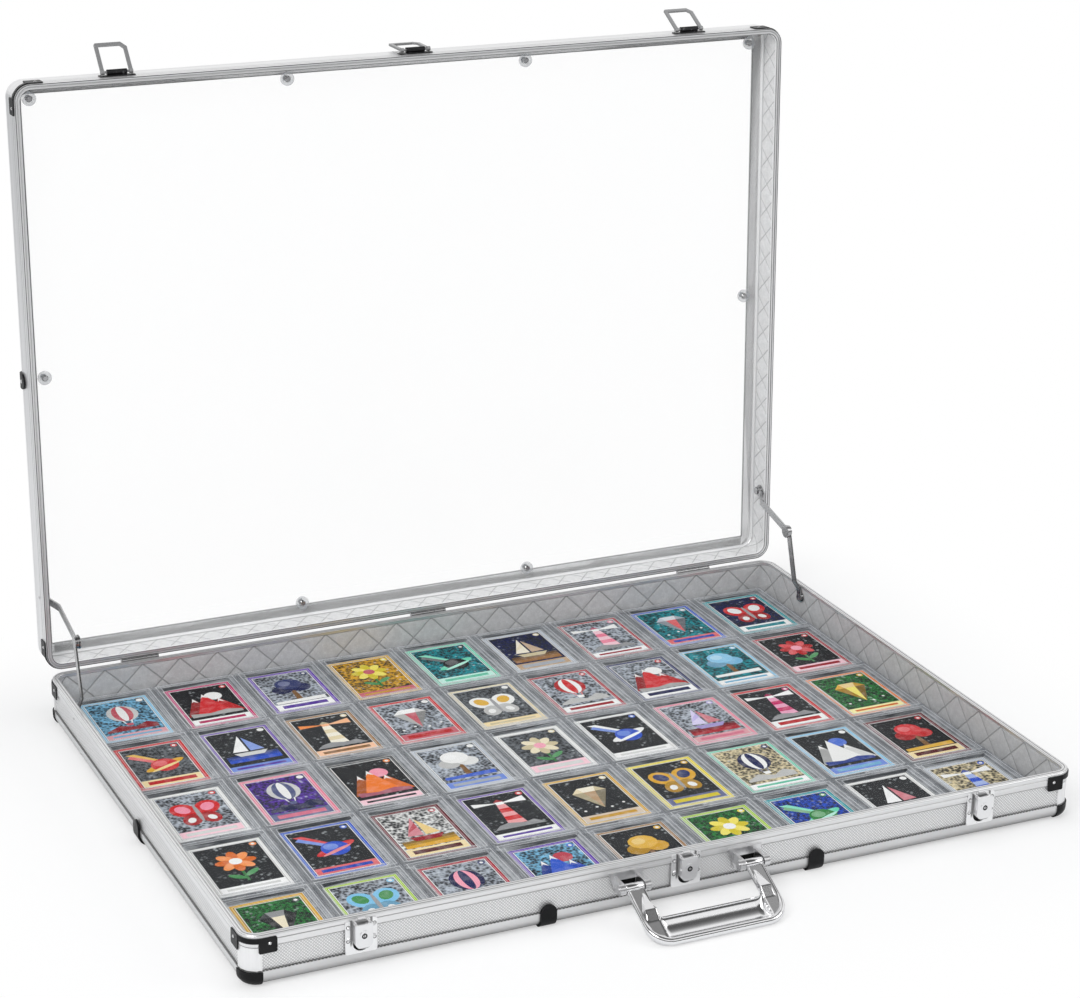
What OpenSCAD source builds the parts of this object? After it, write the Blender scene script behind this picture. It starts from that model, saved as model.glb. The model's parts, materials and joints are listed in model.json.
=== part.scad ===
// Flat aluminium case for showing trading cards, with a clear lid held open by two folding stays.
// Origin: centre of the base's footprint on the floor. +X is to the right, +Y to the hinges, +Z up.
// The lid is drawn open. Every lid piece is made in its closed place and then swung open.

/* [Cards] */
// Number of card holders side by side
card_cols = 9; // [6:1:10]
// Number of rows of card holders
card_rows = 5; // [3:1:6]
// Width of a trading card
card_w = 63.5; // [60:0.5:66]
// Length of a trading card
card_l = 88.9; // [84:0.1:92]
// Thickness of a trading card
card_t = 0.8; // [0.4:0.1:1.6]
// Border of a card holder beside the card
holder_side = 8.25; // [5:0.25:10]
// Border of a card holder above and below the card
holder_end = 7.55; // [6:0.05:9]
// Thickness of one half of a card holder
holder_half_t = 3.5; // [3:0.1:5]
// Gap between neighbouring holders, left to right
holder_gap_x = 0.5; // [0.3:0.1:2]
// Gap between neighbouring holders, front to back
holder_gap_y = 0.4; // [0.3:0.1:2]

/* [Case] */
// From the outer holders to the outside of the left and right walls
side_space = 13.75; // [13.5:0.25:24]
// From the outer holders to the outside of the front and back walls
end_space = 8; // [7.5:0.25:16]
// Height of the base, up to the face that meets the lid
base_h = 45; // [43:1:60]
// Height of the lid above the face that meets the base
lid_h = 34; // [31:1:45]
// Gap left between the closed lid and the base
lid_gap = 0.3; // [0.2:0.1:0.6]
// Radius of the case's upright corners
corner_r = 15; // [14.5:0.5:20]
// Opening angle of the lid
open_angle = 92.2; // [85:0.1:98]

/* [Walls] */
// Thickness of the wall panels
panel_t = 2.4; // [2:0.1:3]
// How far the wall panels sit behind the face of the profiles
panel_recess = 1.6; // [1:0.1:2]
// Thickness of the lining on the base's walls
lining_t = 1.4; // [1:0.1:2]
// Thickness of the lining on the lid's walls
lid_lining_t = 1.6; // [1:0.1:2]
// Thickness of the floor panel
floor_t = 3; // [2:0.5:5]
// Thickness of the foam pad on the floor
pad_t = 6.4; // [3:0.2:9]

/* [Profiles] */
// Thickness of the aluminium in the sill and in the lid's rails
profile_t = 1.6; // [1.2:0.1:2]
// Height of the sill's upright flange
sill_h = 13.5; // [12:0.5:16]
// Depth of the sill's bottom flange
sill_w = 13; // [10:0.5:14]
// Radius of the sill's rounded bottom edge
sill_r = 8.5; // [5:0.5:9]
// Radius of the lid's rounded outer edge
lid_r = 4.5; // [3:0.5:6]
// Height of the rim profile on the base
rim_h = 11; // [9:0.5:13]
// Width of the rim profile's head
rim_w = 5.6; // [4.8:0.1:6]
// Height of the rim profile's head
rim_head = 3; // [2.5:0.1:4]
// Width of the head of the lid's rails
rail_head_w = 5; // [4:0.1:6]
// Width of the flange that holds the clear panel
flange_w = 14; // [10:0.5:14]
// Thickness of the clear panel
window_t = 3; // [2:0.5:4]

/* [Corners and feet] */
// Height of the black cup on a bottom corner
cup_h = 13.5; // [10:0.5:16]
// Wall of the cup
cup_t = 1.2; // [1:0.1:2]
// Height of the feet's gap between the sill and the floor
foot_h = 1; // [0.6:0.1:3]
// Thickness of a corner strap
strap_t = 0.9; // [0.6:0.1:1.2]
// Height of the band of a corner strap
strap_band_h = 4.3; // [3:0.1:6]
// Height of the plates of a corner strap
strap_plate_h = 13; // [10:0.5:14]
// Width of the plates of a corner strap
strap_plate_w = 15; // [12:0.5:17]
// How far the plates reach over the start of the corner
strap_lap = 3; // [1:0.5:4]
// From the mating face to the edge of a corner strap
strap_drop = 2.6; // [1.5:0.1:4]
// Width of a foot and of a lid bumper
foot_w = 14; // [10:0.5:18]
// Height of a foot on the wall
foot_rise = 21; // [18:0.5:24]
// How far a foot reaches under the case
foot_reach = 12; // [8:0.5:13]
// Thickness of a foot outside the wall
foot_t = 2; // [1:0.1:3]
// Distance of the front and back feet from the middle
foot_x = 122; // [80:1:180]

/* [Hinges] */
// Number of hinges
hinge_count = 3; // [2:1:3]
// From the case's side to the middle of an outer hinge
hinge_inset = 87; // [60:1:120]
// Length of a hinge
hinge_l = 36; // [30:1:50]
// Radius of a hinge knuckle
knuckle_r = 2.4; // [2.2:0.1:3]
// Radius of a hinge pin
hinge_pin_r = 1.2; // [1:0.1:1.5]
// How far the hinge pin's axis lies behind the wall
hinge_out = 1.4; // [1.2:0.1:2]
// Thickness of a hinge leaf
leaf_t = 1; // [0.8:0.1:1.2]
// Height of a hinge leaf
leaf_h = 12; // [11:0.5:16]

/* [Stays] */
// From the hinge wall to the stay's pivot on the base
stay_base_u = 76; // [70:0.5:84]
// From the mating face down to the stay's pivot on the base
stay_base_drop = 13; // [12:0.5:16]
// From the hinge wall to the stay's pivot on the lid
stay_lid_u = 67.2; // [62:0.1:72]
// From the mating face up to the stay's pivot on the lid
stay_lid_w = 14.6; // [12:0.1:17]
// Length of the stay's link on the lid, pivot to pivot
upper_l = 75.7; // [74:0.1:78]
// Length of the stay's link on the base, pivot to pivot
lower_l = 67.4; // [66:0.1:70]
// Width of a link
link_w = 7; // [6:0.5:9]
// Thickness of a link
link_t = 1.5; // [1:0.1:1.6]
// How far a link steps away from its wall beside its pivot
stay_joggle = 4; // [2:0.5:5]
// Radius of the stay's pivots
stay_pin_r = 2; // [1.5:0.1:2.4]
// Radius of the disc on the elbow
elbow_r = 6.5; // [5.5:0.5:7]

/* [Latches] */
// From the case's side to the middle of an outer latch
latch_inset = 95; // [60:1:140]
// Width of a latch plate
latch_w = 26.4; // [25:0.1:30]
// Height of a latch plate
latch_h = 28.8; // [27:0.1:31]
// Thickness of a latch plate
latch_t = 1; // [0.8:0.1:1.2]
// Width of a latch lever
lever_w = 14.6; // [13:0.1:16]
// Length of a latch lever below its pivot
lever_l = 18.8; // [17:0.1:20]
// How far a latch lever stands out of the wall
lever_out = 7.5; // [7.2:0.1:9]
// Thickness of a latch lever's sheet
lever_t = 1; // [0.8:0.1:1.2]
// Radius of a latch pin
latch_pin_r = 1; // [0.8:0.1:1.2]
// Radius of a lock barrel
barrel_r = 2.6; // [2:0.1:3]

/* [Bails] */
// Width of a bail
bail_w = 29; // [28:0.5:32]
// Length of a bail from its axis
bail_l = 29; // [26:0.5:29]
// Width of a bail's bars
bail_bar = 3.2; // [2.4:0.1:3.4]
// Thickness of a bail
bail_t = 2; // [1.6:0.1:2.2]
// How far a bail's axis stands out of the lid
bail_out = 3.6; // [3.6:0.1:5]
// From the mating face up to a bail's axis
bail_rise = 11.5; // [10.5:0.1:13]
// Radius of a bail's pins
bail_pin_r = 1.1; // [0.9:0.1:1.2]
// How far each bail leans back over the lid, from the left to the right one
bail_lean = [40, 88, 59]; // [0:1:88]

/* [Handle] */
// From the middle to each handle pin
handle_x = 54; // [50:1:70]
// How far the handle's axis stands out of the wall
handle_out = 15; // [12:0.5:18]
// Height of the handle's axis
handle_z = 29; // [27:0.5:31]
// Width of a handle arm
arm_w = 16; // [14:0.5:20]
// Length of the handle from its axis to the outer edge
handle_l = 60; // [56:0.5:63]
// Depth of the grip
grip_d = 27.5; // [22:0.5:29]
// How far the handle hangs below the level
handle_droop = 26; // [20:0.5:27]
// Radius of a handle pin
handle_pin_r = 2; // [1.5:0.1:2.5]

/* [Hidden] */
$fn = 64;

// Faces of the sides, counted from the front one against the clock
FRONT = 0;
RIGHT = 1;
BACK = 2;
LEFT = 3;
// Clearance round a running pin
run = 0.05;
// Clearance between pieces that move past each other
pass = 0.3;
// Overshoot of a cut
cut = 1;

holder_w = card_w + 2 * holder_side;
holder_l = card_l + 2 * holder_end;
pitch_x = holder_w + holder_gap_x;
pitch_y = holder_l + holder_gap_y;
case_w = card_cols * pitch_x + 2 * side_space;
case_d = card_rows * pitch_y + 2 * end_space;
half_w = case_w / 2;
half_d = case_d / 2;

// Levels of the base
sill_z = foot_h;
floor_z = sill_z + profile_t;
pad_z = floor_z + floor_t;
holder_z = pad_z + pad_t;
sill_top = sill_z + sill_h;
rim_z = base_h - rim_h;
head_z = base_h - rim_head;
lid_z = base_h + lid_gap;

// Depths inward from the outer faces
panel_in = panel_recess + panel_t;
lining_in = panel_in + lining_t;
floor_in = sill_r + 0.1;
window_in = lid_r + 0.1;
// Bottom of the wall panels, where the sill has become upright
panel_z = sill_z + sill_r;
lid_lining_in = profile_t + lid_lining_t;
window_w0 = lid_h - profile_t - window_t;

// Hinge axis of the lid
hinge_y = half_d + hinge_out;
hinge_z = base_h + lid_gap / 2;
hinge_x = half_w - hinge_inset;
latch_x = half_w - latch_inset;

function side_angle(side) = 90 * side;
function side_reach(side) = side % 2 == 0 ? half_d : half_w;
function side_run(side) = 2 * (side % 2 == 0 ? half_w : half_d) - 2 * corner_r;

// General placing

module on_side(side, along = 0, z = 0) {
  rotate([0, 0, side_angle(side)]) translate([along, -side_reach(side), z]) children();
}

module on_corner(corner) {
  x = (corner == 0 || corner == 1 ? 1 : -1) * (half_w - corner_r);
  y = (corner == 0 || corner == 3 ? -1 : 1) * (half_d - corner_r);
  translate([x, y, 0]) rotate([0, 0, 90 * corner - 90]) children();
}

// A child drawn as (depth inward, height) becomes a straight bar or a quarter turn
module straight_run(length) {
  rotate([90, 0, 90]) linear_extrude(length, center = true) children();
}

module corner_run() {
  rotate_extrude(angle = 90) translate([corner_r, 0]) mirror([1, 0]) children();
}

// One side of a frame; the left and right sides carry the rounded corners
module frame_side(side) {
  on_side(side) straight_run(side_run(side)) children();
  if (side % 2 == 1) {
    on_corner(side - 1) corner_run() children();
    on_corner(side) corner_run() children();
  }
}

// Outline of the case, drawn in by a given depth
module outline(inset) {
  r = corner_r - inset;
  square([2 * (half_w - corner_r), 2 * (half_d - inset)], center = true);
  square([2 * (half_w - inset), 2 * (half_d - corner_r)], center = true);
  for (x = [-1, 1], y = [-1, 1]) {
    translate([x * (half_w - corner_r), y * (half_d - corner_r)]) circle(r);
  }
}

module lining_ring(outer, inner, z0, z1) {
  translate([0, 0, z0]) linear_extrude(z1 - z0) difference() {
    outline(outer);
    outline(inner);
  }
}

// Swings lid pieces from their closed place to the open one
module open_lid() {
  translate([0, hinge_y, hinge_z]) rotate([-open_angle, 0, 0]) {
    translate([0, -hinge_y, -hinge_z]) children();
  }
}

module rounded_plate(width, height, r) {
  translate([-width / 2 + r, 0]) square([width - 2 * r, height]);
  translate([-width / 2, r]) square([width, height - 2 * r]);
  for (x = [-1, 1], y = [r, height - r]) {
    translate([x * (width / 2 - r), y]) circle(r);
  }
}

// Plate lying on a side, its drawing upright, from depth u0 to depth u1
module side_plate(u0, u1) {
  translate([0, u1, 0]) rotate([90, 0, 0]) linear_extrude(u1 - u0) children();
}

// Low domed rivet head standing out of a side's face
module rivet(r) {
  rotate([90, 0, 0]) cylinder(h = 0.45 * r, r1 = r, r2 = 0.6 * r);
}

// Radii of the rivet heads
strap_rivet_r = 1.4;
latch_rivet_r = 1.6;
leaf_rivet_r = 1.5;
stay_rivet_r = 1.8;
bail_rivet_r = 1.1;
bumper_rivet_r = 1.8;
// From the edges of their plates to the rivets
latch_rivet_in = 2.8;
latch_rivet_drops = [6, 15.6];
leaf_rivet_in = 3;
bail_rivet_in = 1.6;
bail_rivet_up = 2;
bumper_rivet_in = 8;

// Profiles, drawn as (depth inward, height)

module quarter_bend(r, t) {
  intersection() {
    difference() {
      circle(r);
      circle(r - t);
    }
    translate([-r, -r]) square(r);
  }
}

module sill_profile() {
  translate([0, sill_r]) square([profile_t, sill_h - sill_r]);
  translate([sill_r, 0]) square([sill_w - sill_r, profile_t]);
  translate([sill_r, sill_r]) quarter_bend(sill_r, profile_t);
}

// Half width and depth of the shallow grooves along the profiles
groove = 0.6;
// From the mating face to the first groove in the outer face
groove_z = 4.8;

module outer_groove(height) {
  translate([0, height]) rotate(45) square(groove, center = true);
}

module rim_profile() {
  bevel = 0.8;
  difference() {
    polygon([
      [bevel, 0], [panel_recess, 0], [panel_recess, rim_h - rim_head], [rim_w, rim_h - rim_head],
      [rim_w, rim_h - groove], [rim_w - groove, rim_h], [bevel, rim_h], [0, rim_h - bevel], [0, bevel * 1.5]
    ]);
    outer_groove(rim_h - groove_z);
    translate([rim_w / 2 - groove, rim_h - 2 * groove]) square([2 * groove, 2 * groove + cut]);
  }
}

module rail_profile() {
  difference() {
    union() {
      square([rail_head_w, rim_head]);
      square([profile_t, lid_h - lid_r]);
      translate([lid_r, lid_h - profile_t]) square([flange_w - lid_r, profile_t]);
      translate([lid_r, lid_h - lid_r]) mirror([0, 1]) quarter_bend(lid_r, profile_t);
    }
    outer_groove(groove_z);
    outer_groove(2 * groove_z + groove);
    translate([rail_head_w / 2 - groove, -cut]) square([2 * groove, 2 * groove + cut]);
  }
}

// Base

module base_floor() {
  color("dimgray") translate([0, 0, floor_z]) linear_extrude(floor_t) outline(floor_in);
}

module base_pad() {
  color("slategray") translate([0, 0, pad_z]) linear_extrude(pad_t) outline(lining_in + pass / 2);
}

module base_lining() {
  color("gray") lining_ring(panel_in, lining_in, pad_z, head_z);
}

module base_panel(side) {
  color("gainsboro") on_side(side, 0, panel_z) side_plate(panel_recess, panel_in) {
    translate([-side_run(side) / 2, 0]) square([side_run(side), head_z - panel_z]);
  }
}

module base_sill(side) {
  color("silver") translate([0, 0, sill_z]) frame_side(side) sill_profile();
}

module hinge_relief() {
  for (x = hinge_places()) {
    translate([x, hinge_y, hinge_z]) rotate([0, 90, 0]) {
      cylinder(h = hinge_l + 2 * pass, r = knuckle_r + pass, center = true);
    }
  }
}

module base_rim(side) {
  color("silver") difference() {
    translate([0, 0, rim_z]) frame_side(side) rim_profile();
    if (side == BACK) hinge_relief();
  }
}

module base_corner_posts() {
  post_face = 0.3;
  color("whitesmoke") for (corner = [0:3]) {
    translate([0, 0, sill_top]) on_corner(corner) corner_run() {
      translate([post_face, 0]) square([panel_in - post_face - run, rim_z - sill_top]);
    }
  }
}

strap_plate_r = 1.5;

// Straps of the corners: a band round each corner and a plate on each face, hung from the top edge
module corner_straps() {
  for (corner = [0:3]) {
    on_corner(corner) {
      corner_run() translate([-strap_t, -strap_band_h]) square([strap_t, strap_band_h]);
      for (flip = [0, 1]) {
        mirror([flip, -flip, 0]) {
          translate([corner_r, strap_lap - strap_plate_w / 2, -strap_plate_h]) rotate([90, 0, 90]) {
            linear_extrude(strap_t) rounded_plate(strap_plate_w, strap_plate_h, strap_plate_r);
          }
        }
      }
    }
  }
}

module base_corner_straps() {
  color("black") translate([0, 0, base_h - strap_drop]) corner_straps();
}

module base_corner_cups() {
  cup_r = sill_r + cup_t;
  color("black") for (corner = [0:3]) {
    on_corner(corner) corner_run() difference() {
      union() {
        translate([-cup_t, cup_r]) square([cup_t, cup_h - cup_r]);
        translate([sill_r, 0]) square([sill_w - sill_r - cut, foot_h]);
        translate([sill_r, sill_r + foot_h]) intersection() {
          circle(cup_r);
          translate([-cup_r, -sill_r - foot_h]) square([cup_r, cup_r]);
        }
      }
      translate([sill_r, sill_r + foot_h]) circle(sill_r);
      translate([0, sill_r + foot_h]) square([sill_r, cup_h]);
    }
  }
}

// Foot wrapped round an edge of radius r, drawn as (depth inward, height above the floor)
module foot(height, r) {
  outer_r = r + foot_t;
  intersection() {
    straight_run(foot_w) difference() {
      union() {
        translate([-foot_t, outer_r]) square([foot_t, height - outer_r]);
        translate([r, 0]) square([foot_reach - r, foot_h]);
        translate([r, r + foot_h]) intersection() {
          circle(outer_r);
          translate([-outer_r, -r - foot_h]) square([outer_r, outer_r + foot_t]);
        }
      }
      translate([r, r + foot_h]) circle(r + run);
      translate([0, r + foot_h]) square([r + cut, height]);
    }
    side_plate(-foot_t - cut, foot_reach + cut) {
      translate([-foot_w / 2, 0]) square([foot_w, height - foot_w / 2]);
      translate([0, height - foot_w / 2]) circle(foot_w / 2);
    }
  }
}

module base_feet() {
  color("black") {
    for (side = [FRONT, BACK], x = [-foot_x, foot_x]) {
      on_side(side, x) foot(foot_rise, sill_r);
    }
    on_side(RIGHT) foot(foot_rise, sill_r);
    on_side(LEFT) foot(foot_rise, sill_r);
  }
}

// From the case's side to the rivets in the corner straps, and their depth below the strap's edge
strap_rivet_x = corner_r - strap_lap + 0.6 * strap_plate_w;
strap_rivet_drop = 0.4 * strap_plate_h;

// Rivets in the plates of the corner straps, at a given height
module strap_rivets(z) {
  for (side = [FRONT:LEFT], end = [-1, 1]) {
    on_side(side, end * (side_run(side) / 2 + corner_r - strap_rivet_x), z) {
      translate([0, -strap_t, 0]) rivet(strap_rivet_r);
    }
  }
}

// Rivets in the leaves of the hinges, at a given height
module leaf_rivets(z) {
  for (x = hinge_places(), dx = [-3, -1, 1, 3]) {
    on_side(BACK, x + dx * hinge_l / 8, z) translate([0, -leaf_t, 0]) rivet(leaf_rivet_r);
  }
}

module base_rivets() {
  color("silver") {
    strap_rivets(base_h - strap_drop - strap_rivet_drop);
    for (x = latch_places(), dx = [-1, 1], drop = latch_rivet_drops) {
      on_side(FRONT, x + dx * (latch_w / 2 - latch_rivet_in), latch_top - drop) {
        translate([0, -latch_t, 0]) rivet(latch_rivet_r);
      }
    }
    leaf_rivets(base_h - leaf_h + leaf_rivet_in);
    on_side(RIGHT, half_d - stay_base_u, stay_base_z) translate([0, panel_recess, 0]) rivet(stay_rivet_r);
    on_side(LEFT, stay_base_u - half_d, stay_base_z) translate([0, panel_recess, 0]) rivet(stay_rivet_r);
  }
}

// Hinges

function hinge_places() = [for (i = [0:hinge_count - 1]) hinge_x * (2 * i / (hinge_count - 1) - 1)];

knuckle_part = hinge_l / 3;

// Leaf and knuckles of one hinge half, upright below the axis; the pin's hole is drilled through
module hinge_half(knuckles, leaf_top) {
  difference() {
    union() {
      translate([-hinge_l / 2, -hinge_out, -leaf_h]) cube([hinge_l, leaf_t, leaf_h - knuckle_r - pass]);
      for (k = knuckles) {
        x0 = (k - 0.5) * knuckle_part + pass / 2;
        translate([x0, -hinge_out, -leaf_h / 2]) cube([knuckle_part - pass, leaf_t, leaf_h / 2 - leaf_top]);
        translate([x0, 0, 0]) rotate([0, 90, 0]) cylinder(h = knuckle_part - pass, r = knuckle_r);
      }
    }
    rotate([0, 90, 0]) cylinder(h = hinge_l + 2 * cut, r = hinge_pin_r + run, center = true);
  }
}

module base_hinge_leaves() {
  color("silver") for (x = hinge_places()) {
    translate([x, hinge_y, hinge_z]) hinge_half([-1, 1], lid_gap);
  }
}

module lid_hinge_leaves() {
  color("silver") open_lid() for (x = hinge_places()) {
    translate([x, hinge_y, hinge_z]) mirror([0, 0, 1]) hinge_half([0], lid_gap);
  }
}

module hinge_pins() {
  color("silver") for (x = hinge_places()) {
    translate([x, hinge_y, hinge_z]) along_x(hinge_l, hinge_pin_r);
  }
}

// Latches

latch_top = base_h - 3;
latch_pivot_z = latch_top - 3.2;
ear_r = 2;
ear_t = 1.2;
// Depth of the pivot; the front of a lever turns round it clear of the ears
latch_pivot_u = -lever_out + lever_t + 2 * pass + ear_r;
ear_x = lever_w / 2 - lever_t - pass - ear_t;
barrel_z = latch_pivot_z - 6.8;
// Height of a lever above its pivot
lever_top = 1.6;
lever_corner_r = 5.6;

function latch_places() = [-latch_x, 0, latch_x];

// Round bar along X, centred on the origin
module along_x(length, r) {
  rotate([0, 90, 0]) cylinder(h = length, r = r, center = true);
}

module latch_plates() {
  plate_r = 2;
  ledge_w = 6;
  ledge_h = 1;
  ledge_gap = 0.7;
  ledge_out = 2.4 * latch_t;
  scoop_r = lever_w / 2 - 0.3;
  scoop_z = latch_top - latch_h + 1.8;
  color("gainsboro") for (x = latch_places()) {
    on_side(FRONT, x) difference() {
      union() {
        translate([0, 0, latch_top - latch_h]) side_plate(-latch_t, 0) {
          rounded_plate(latch_w, latch_h, plate_r);
        }
        for (side = [-1, 1]) {
          translate([side * (ear_x + ear_t / 2), 0, latch_pivot_z]) {
            translate([-ear_t / 2, latch_pivot_u, -ear_r]) {
              cube([ear_t, -latch_pivot_u - latch_t / 2, 2 * ear_r]);
            }
            translate([0, latch_pivot_u, 0]) along_x(ear_t, ear_r);
          }
        }
        translate([-ledge_w / 2, -latch_t, latch_top - ledge_h]) {
          cube([ledge_w, latch_t, 2 * ledge_h + ledge_gap]);
        }
        translate([-ledge_w / 2, -ledge_out, latch_top + ledge_gap]) cube([ledge_w, ledge_out, ledge_h]);
      }
      translate([0, latch_pivot_u, latch_pivot_z]) along_x(lever_w, latch_pin_r + run);
      translate([0, 0, scoop_z]) side_plate(-latch_t - cut, cut) {
        translate([0, scoop_r]) circle(scoop_r);
        translate([-scoop_r, scoop_r]) square([2 * scoop_r, lever_l - scoop_r]);
      }
    }
  }
}

module latch_pins() {
  color("silver") for (x = latch_places()) {
    on_side(FRONT, x, latch_pivot_z) translate([0, latch_pivot_u, 0]) along_x(lever_w, latch_pin_r);
  }
}

// Front drawing of a lever, drawn in by a given depth: round below, square above the pivot
module lever_outline(inset, top) {
  low_r = lever_corner_r - inset;
  width = lever_w - 2 * inset;
  bottom = -lever_l + inset;
  translate([-width / 2, bottom + low_r]) square([width, top - bottom - low_r]);
  translate([-width / 2 + low_r, bottom]) square([width - 2 * low_r, low_r]);
  for (x = [-1, 1]) {
    translate([x * (width / 2 - low_r), bottom + low_r]) circle(low_r);
  }
}

module latch_lever(place) {
  back = -latch_t - pass;
  color("gainsboro") on_side(FRONT, latch_places()[place], latch_pivot_z) difference() {
    side_plate(-lever_out, back) lever_outline(0, lever_top);
    side_plate(-lever_out + lever_t, back + cut) lever_outline(lever_t, lever_top + cut);
    translate([-lever_w, latch_pivot_u + lever_top, -lever_top]) {
      cube([2 * lever_w, lever_out, 3 * lever_top]);
    }
    translate([0, latch_pivot_u, 0]) along_x(2 * lever_w, latch_pin_r + run);
    translate([0, -lever_out / 2, barrel_z - latch_pivot_z]) rotate([90, 0, 0]) {
      cylinder(h = lever_out, r = barrel_r + run);
    }
  }
}

module lock_barrel(place) {
  head_r = barrel_r + 0.9;
  head_t = 0.6;
  // The cam on the inner end turns inside the lever
  cam_l = lever_w / 2 - lever_t - 2 * pass;
  cam_t = 1;
  slot_l = 3.6;
  slot_w = 0.8;
  tail = lever_out - lever_t - 2 * pass;
  color("silver") on_side(FRONT, latch_places()[place], barrel_z) difference() {
    union() {
      translate([0, -lever_out, 0]) rotate([90, 0, 0]) cylinder(h = head_t, r = head_r);
      translate([0, -tail + cam_t, 0]) rotate([90, 0, 0]) {
        cylinder(h = lever_out - tail + cam_t, r = barrel_r);
      }
      translate([-cam_t * 1.5, -tail, -cam_l]) cube([cam_t * 3, cam_t, cam_l]);
    }
    translate([-slot_w / 2, -lever_out - head_t - cut, -slot_l / 2]) cube([slot_w, cut + head_t, slot_l]);
  }
}

// Handle

bracket_w = 31;
bracket_t = 1.2;
cheek_t = 2.4;
cheek_r = 4.6;
cheek_x = arm_w / 2 + 0.5;
// Length of the tube on each cheek that the pin runs in
cheek_tube = 5.2;
eye_r = 4;
arm_out = handle_x + arm_w / 2;
arm_in = handle_x - arm_w / 2;
grip_in = handle_l - grip_d;
grip_mid = grip_in + grip_d / 2;
handle_sheet = 3;
handle_corner_r = 20;
// The wedge on an arm: where it starts, where it is highest, its height and its half width at the start
wedge_from = 8;
wedge_ridge = 0.8 * grip_in;
wedge_h = 3.4;
wedge_tip = 3.5;

module handle_brackets() {
  bottom = sill_top + 3.5;
  top = rim_z + 3;
  taper = 6.5;
  color("gainsboro") for (x = [-handle_x, handle_x]) {
    on_side(FRONT, x) difference() {
      union() {
        side_plate(-bracket_t, 0) polygon([
          [-bracket_w / 2 + taper, bottom], [bracket_w / 2 - taper, bottom],
          [bracket_w / 2, top], [-bracket_w / 2, top]
        ]);
        for (side = [-1, 1]) {
          translate([side * (cheek_x + cheek_t / 2), 0, handle_z]) {
            translate([-cheek_t / 2, -handle_out, -cheek_r]) {
              cube([cheek_t, handle_out - bracket_t / 2, 2 * cheek_r]);
            }
            translate([side * (cheek_tube - cheek_t) / 2, -handle_out, 0]) along_x(cheek_tube, cheek_r);
          }
        }
      }
      translate([0, -handle_out, handle_z]) along_x(bracket_w, handle_pin_r + run);
    }
  }
}

module handle_pins() {
  head_t = 0.8;
  reach = cheek_x + cheek_tube;
  color("silver") for (x = [-handle_x, handle_x]) {
    on_side(FRONT, x, handle_z) translate([0, -handle_out, 0]) {
      along_x(2 * reach, handle_pin_r);
      for (side = [-1, 1]) {
        translate([side * (reach + head_t / 2), 0, 0]) along_x(head_t, handle_pin_r + 1);
      }
    }
  }
}

module both_ways() {
  children();
  mirror([1, 0]) children();
}

// Outline of the handle, drawn level and reaching out from its pins along -Y
module handle_outline() {
  translate([-arm_out, -handle_l + handle_corner_r]) square([2 * arm_out, handle_l - handle_corner_r]);
  corner_x = arm_out - handle_corner_r;
  translate([-corner_x, -handle_l]) square([2 * corner_x, handle_corner_r]);
  both_ways() translate([corner_x, -handle_l + handle_corner_r]) circle(handle_corner_r);
}

// Raised wedge on the right arm: narrow at the eye, highest shortly before the grip
module arm_wedge() {
  intersection() {
    rotate([90, 0, 90]) linear_extrude(arm_out + cut) {
      polygon([[-wedge_from, 0], [-wedge_ridge, handle_sheet / 2 + wedge_h], [-grip_in, 0]]);
    }
    linear_extrude(2 * wedge_h + handle_sheet, center = true) polygon([
      [handle_x - wedge_tip, -wedge_from], [arm_in, -wedge_ridge], [arm_in, -grip_in],
      [arm_out, -grip_in], [arm_out, -wedge_ridge], [handle_x + wedge_tip, -wedge_from]
    ]);
  }
}

// Round back of the grip, as wide as the grip at the level of the sheet
module grip_shell() {
  rise = 11;
  shell_r = norm([grip_d / 2, rise]);
  intersection() {
    translate([0, -grip_mid, rise]) along_x(2 * arm_out, shell_r);
    translate([0, 0, -shell_r]) linear_extrude(shell_r + handle_sheet / 2) intersection() {
      handle_outline();
      translate([-arm_out, -handle_l]) square([2 * arm_out, grip_d]);
    }
  }
}

// The cast handle, turned down from the level by its droop
module handle() {
  notch = 3;
  rise = 8.6;
  lip = 2.75;
  trough_r = norm([grip_d / 2 - lip, rise - handle_sheet / 2]);
  color("silver") on_side(FRONT, 0, handle_z) translate([0, -handle_out, 0]) rotate([handle_droop, 0, 0]) {
    difference() {
      union() {
        translate([0, 0, -handle_sheet / 2]) linear_extrude(handle_sheet) difference() {
          handle_outline();
          both_ways() polygon([
            [0, -grip_in], [arm_in - notch, -grip_in], [arm_in, -grip_in + notch], [arm_in, cut], [0, cut]
          ]);
        }
        for (flip = [0, 1]) {
          mirror([flip, 0, 0]) {
            arm_wedge();
            translate([handle_x, 0, 0]) along_x(arm_w, eye_r);
          }
        }
        grip_shell();
      }
      translate([0, -grip_mid, rise]) along_x(2 * (arm_in - 2), trough_r);
      for (x = [-handle_x, handle_x]) {
        translate([x, 0, 0]) along_x(arm_w + 2 * cut, handle_pin_r + run);
      }
    }
  }
}

// Stays: all points are (y, z) in the plane of a side wall

stay_base_z = base_h - stay_base_drop;
link_end_r = link_w / 2 + 0.5;
// Room for the elbow's pin in the upper link
stay_slack = 1.3;
// Outer faces of the links, from the middle of the case: at the walls and at the elbow
stay_wall_x = half_w - rim_w - 0.6;
lower_x = stay_wall_x - stay_joggle;
upper_x = lower_x - link_t - pass;

function swing(p) =
  let (dy = p[0] - hinge_y, dz = p[1] - hinge_z, c = cos(open_angle), s = sin(open_angle))
  [hinge_y + dy * c + dz * s, hinge_z - dy * s + dz * c];
function meet(a, ra, b, rb) =
  let (d = norm(b - a), x = (ra * ra - rb * rb + d * d) / (2 * d))
  let (h = sqrt(max(ra * ra - x * x, 0)), e = (b - a) / d)
  a + x * e + h * [-e[1], e[0]];

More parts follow.
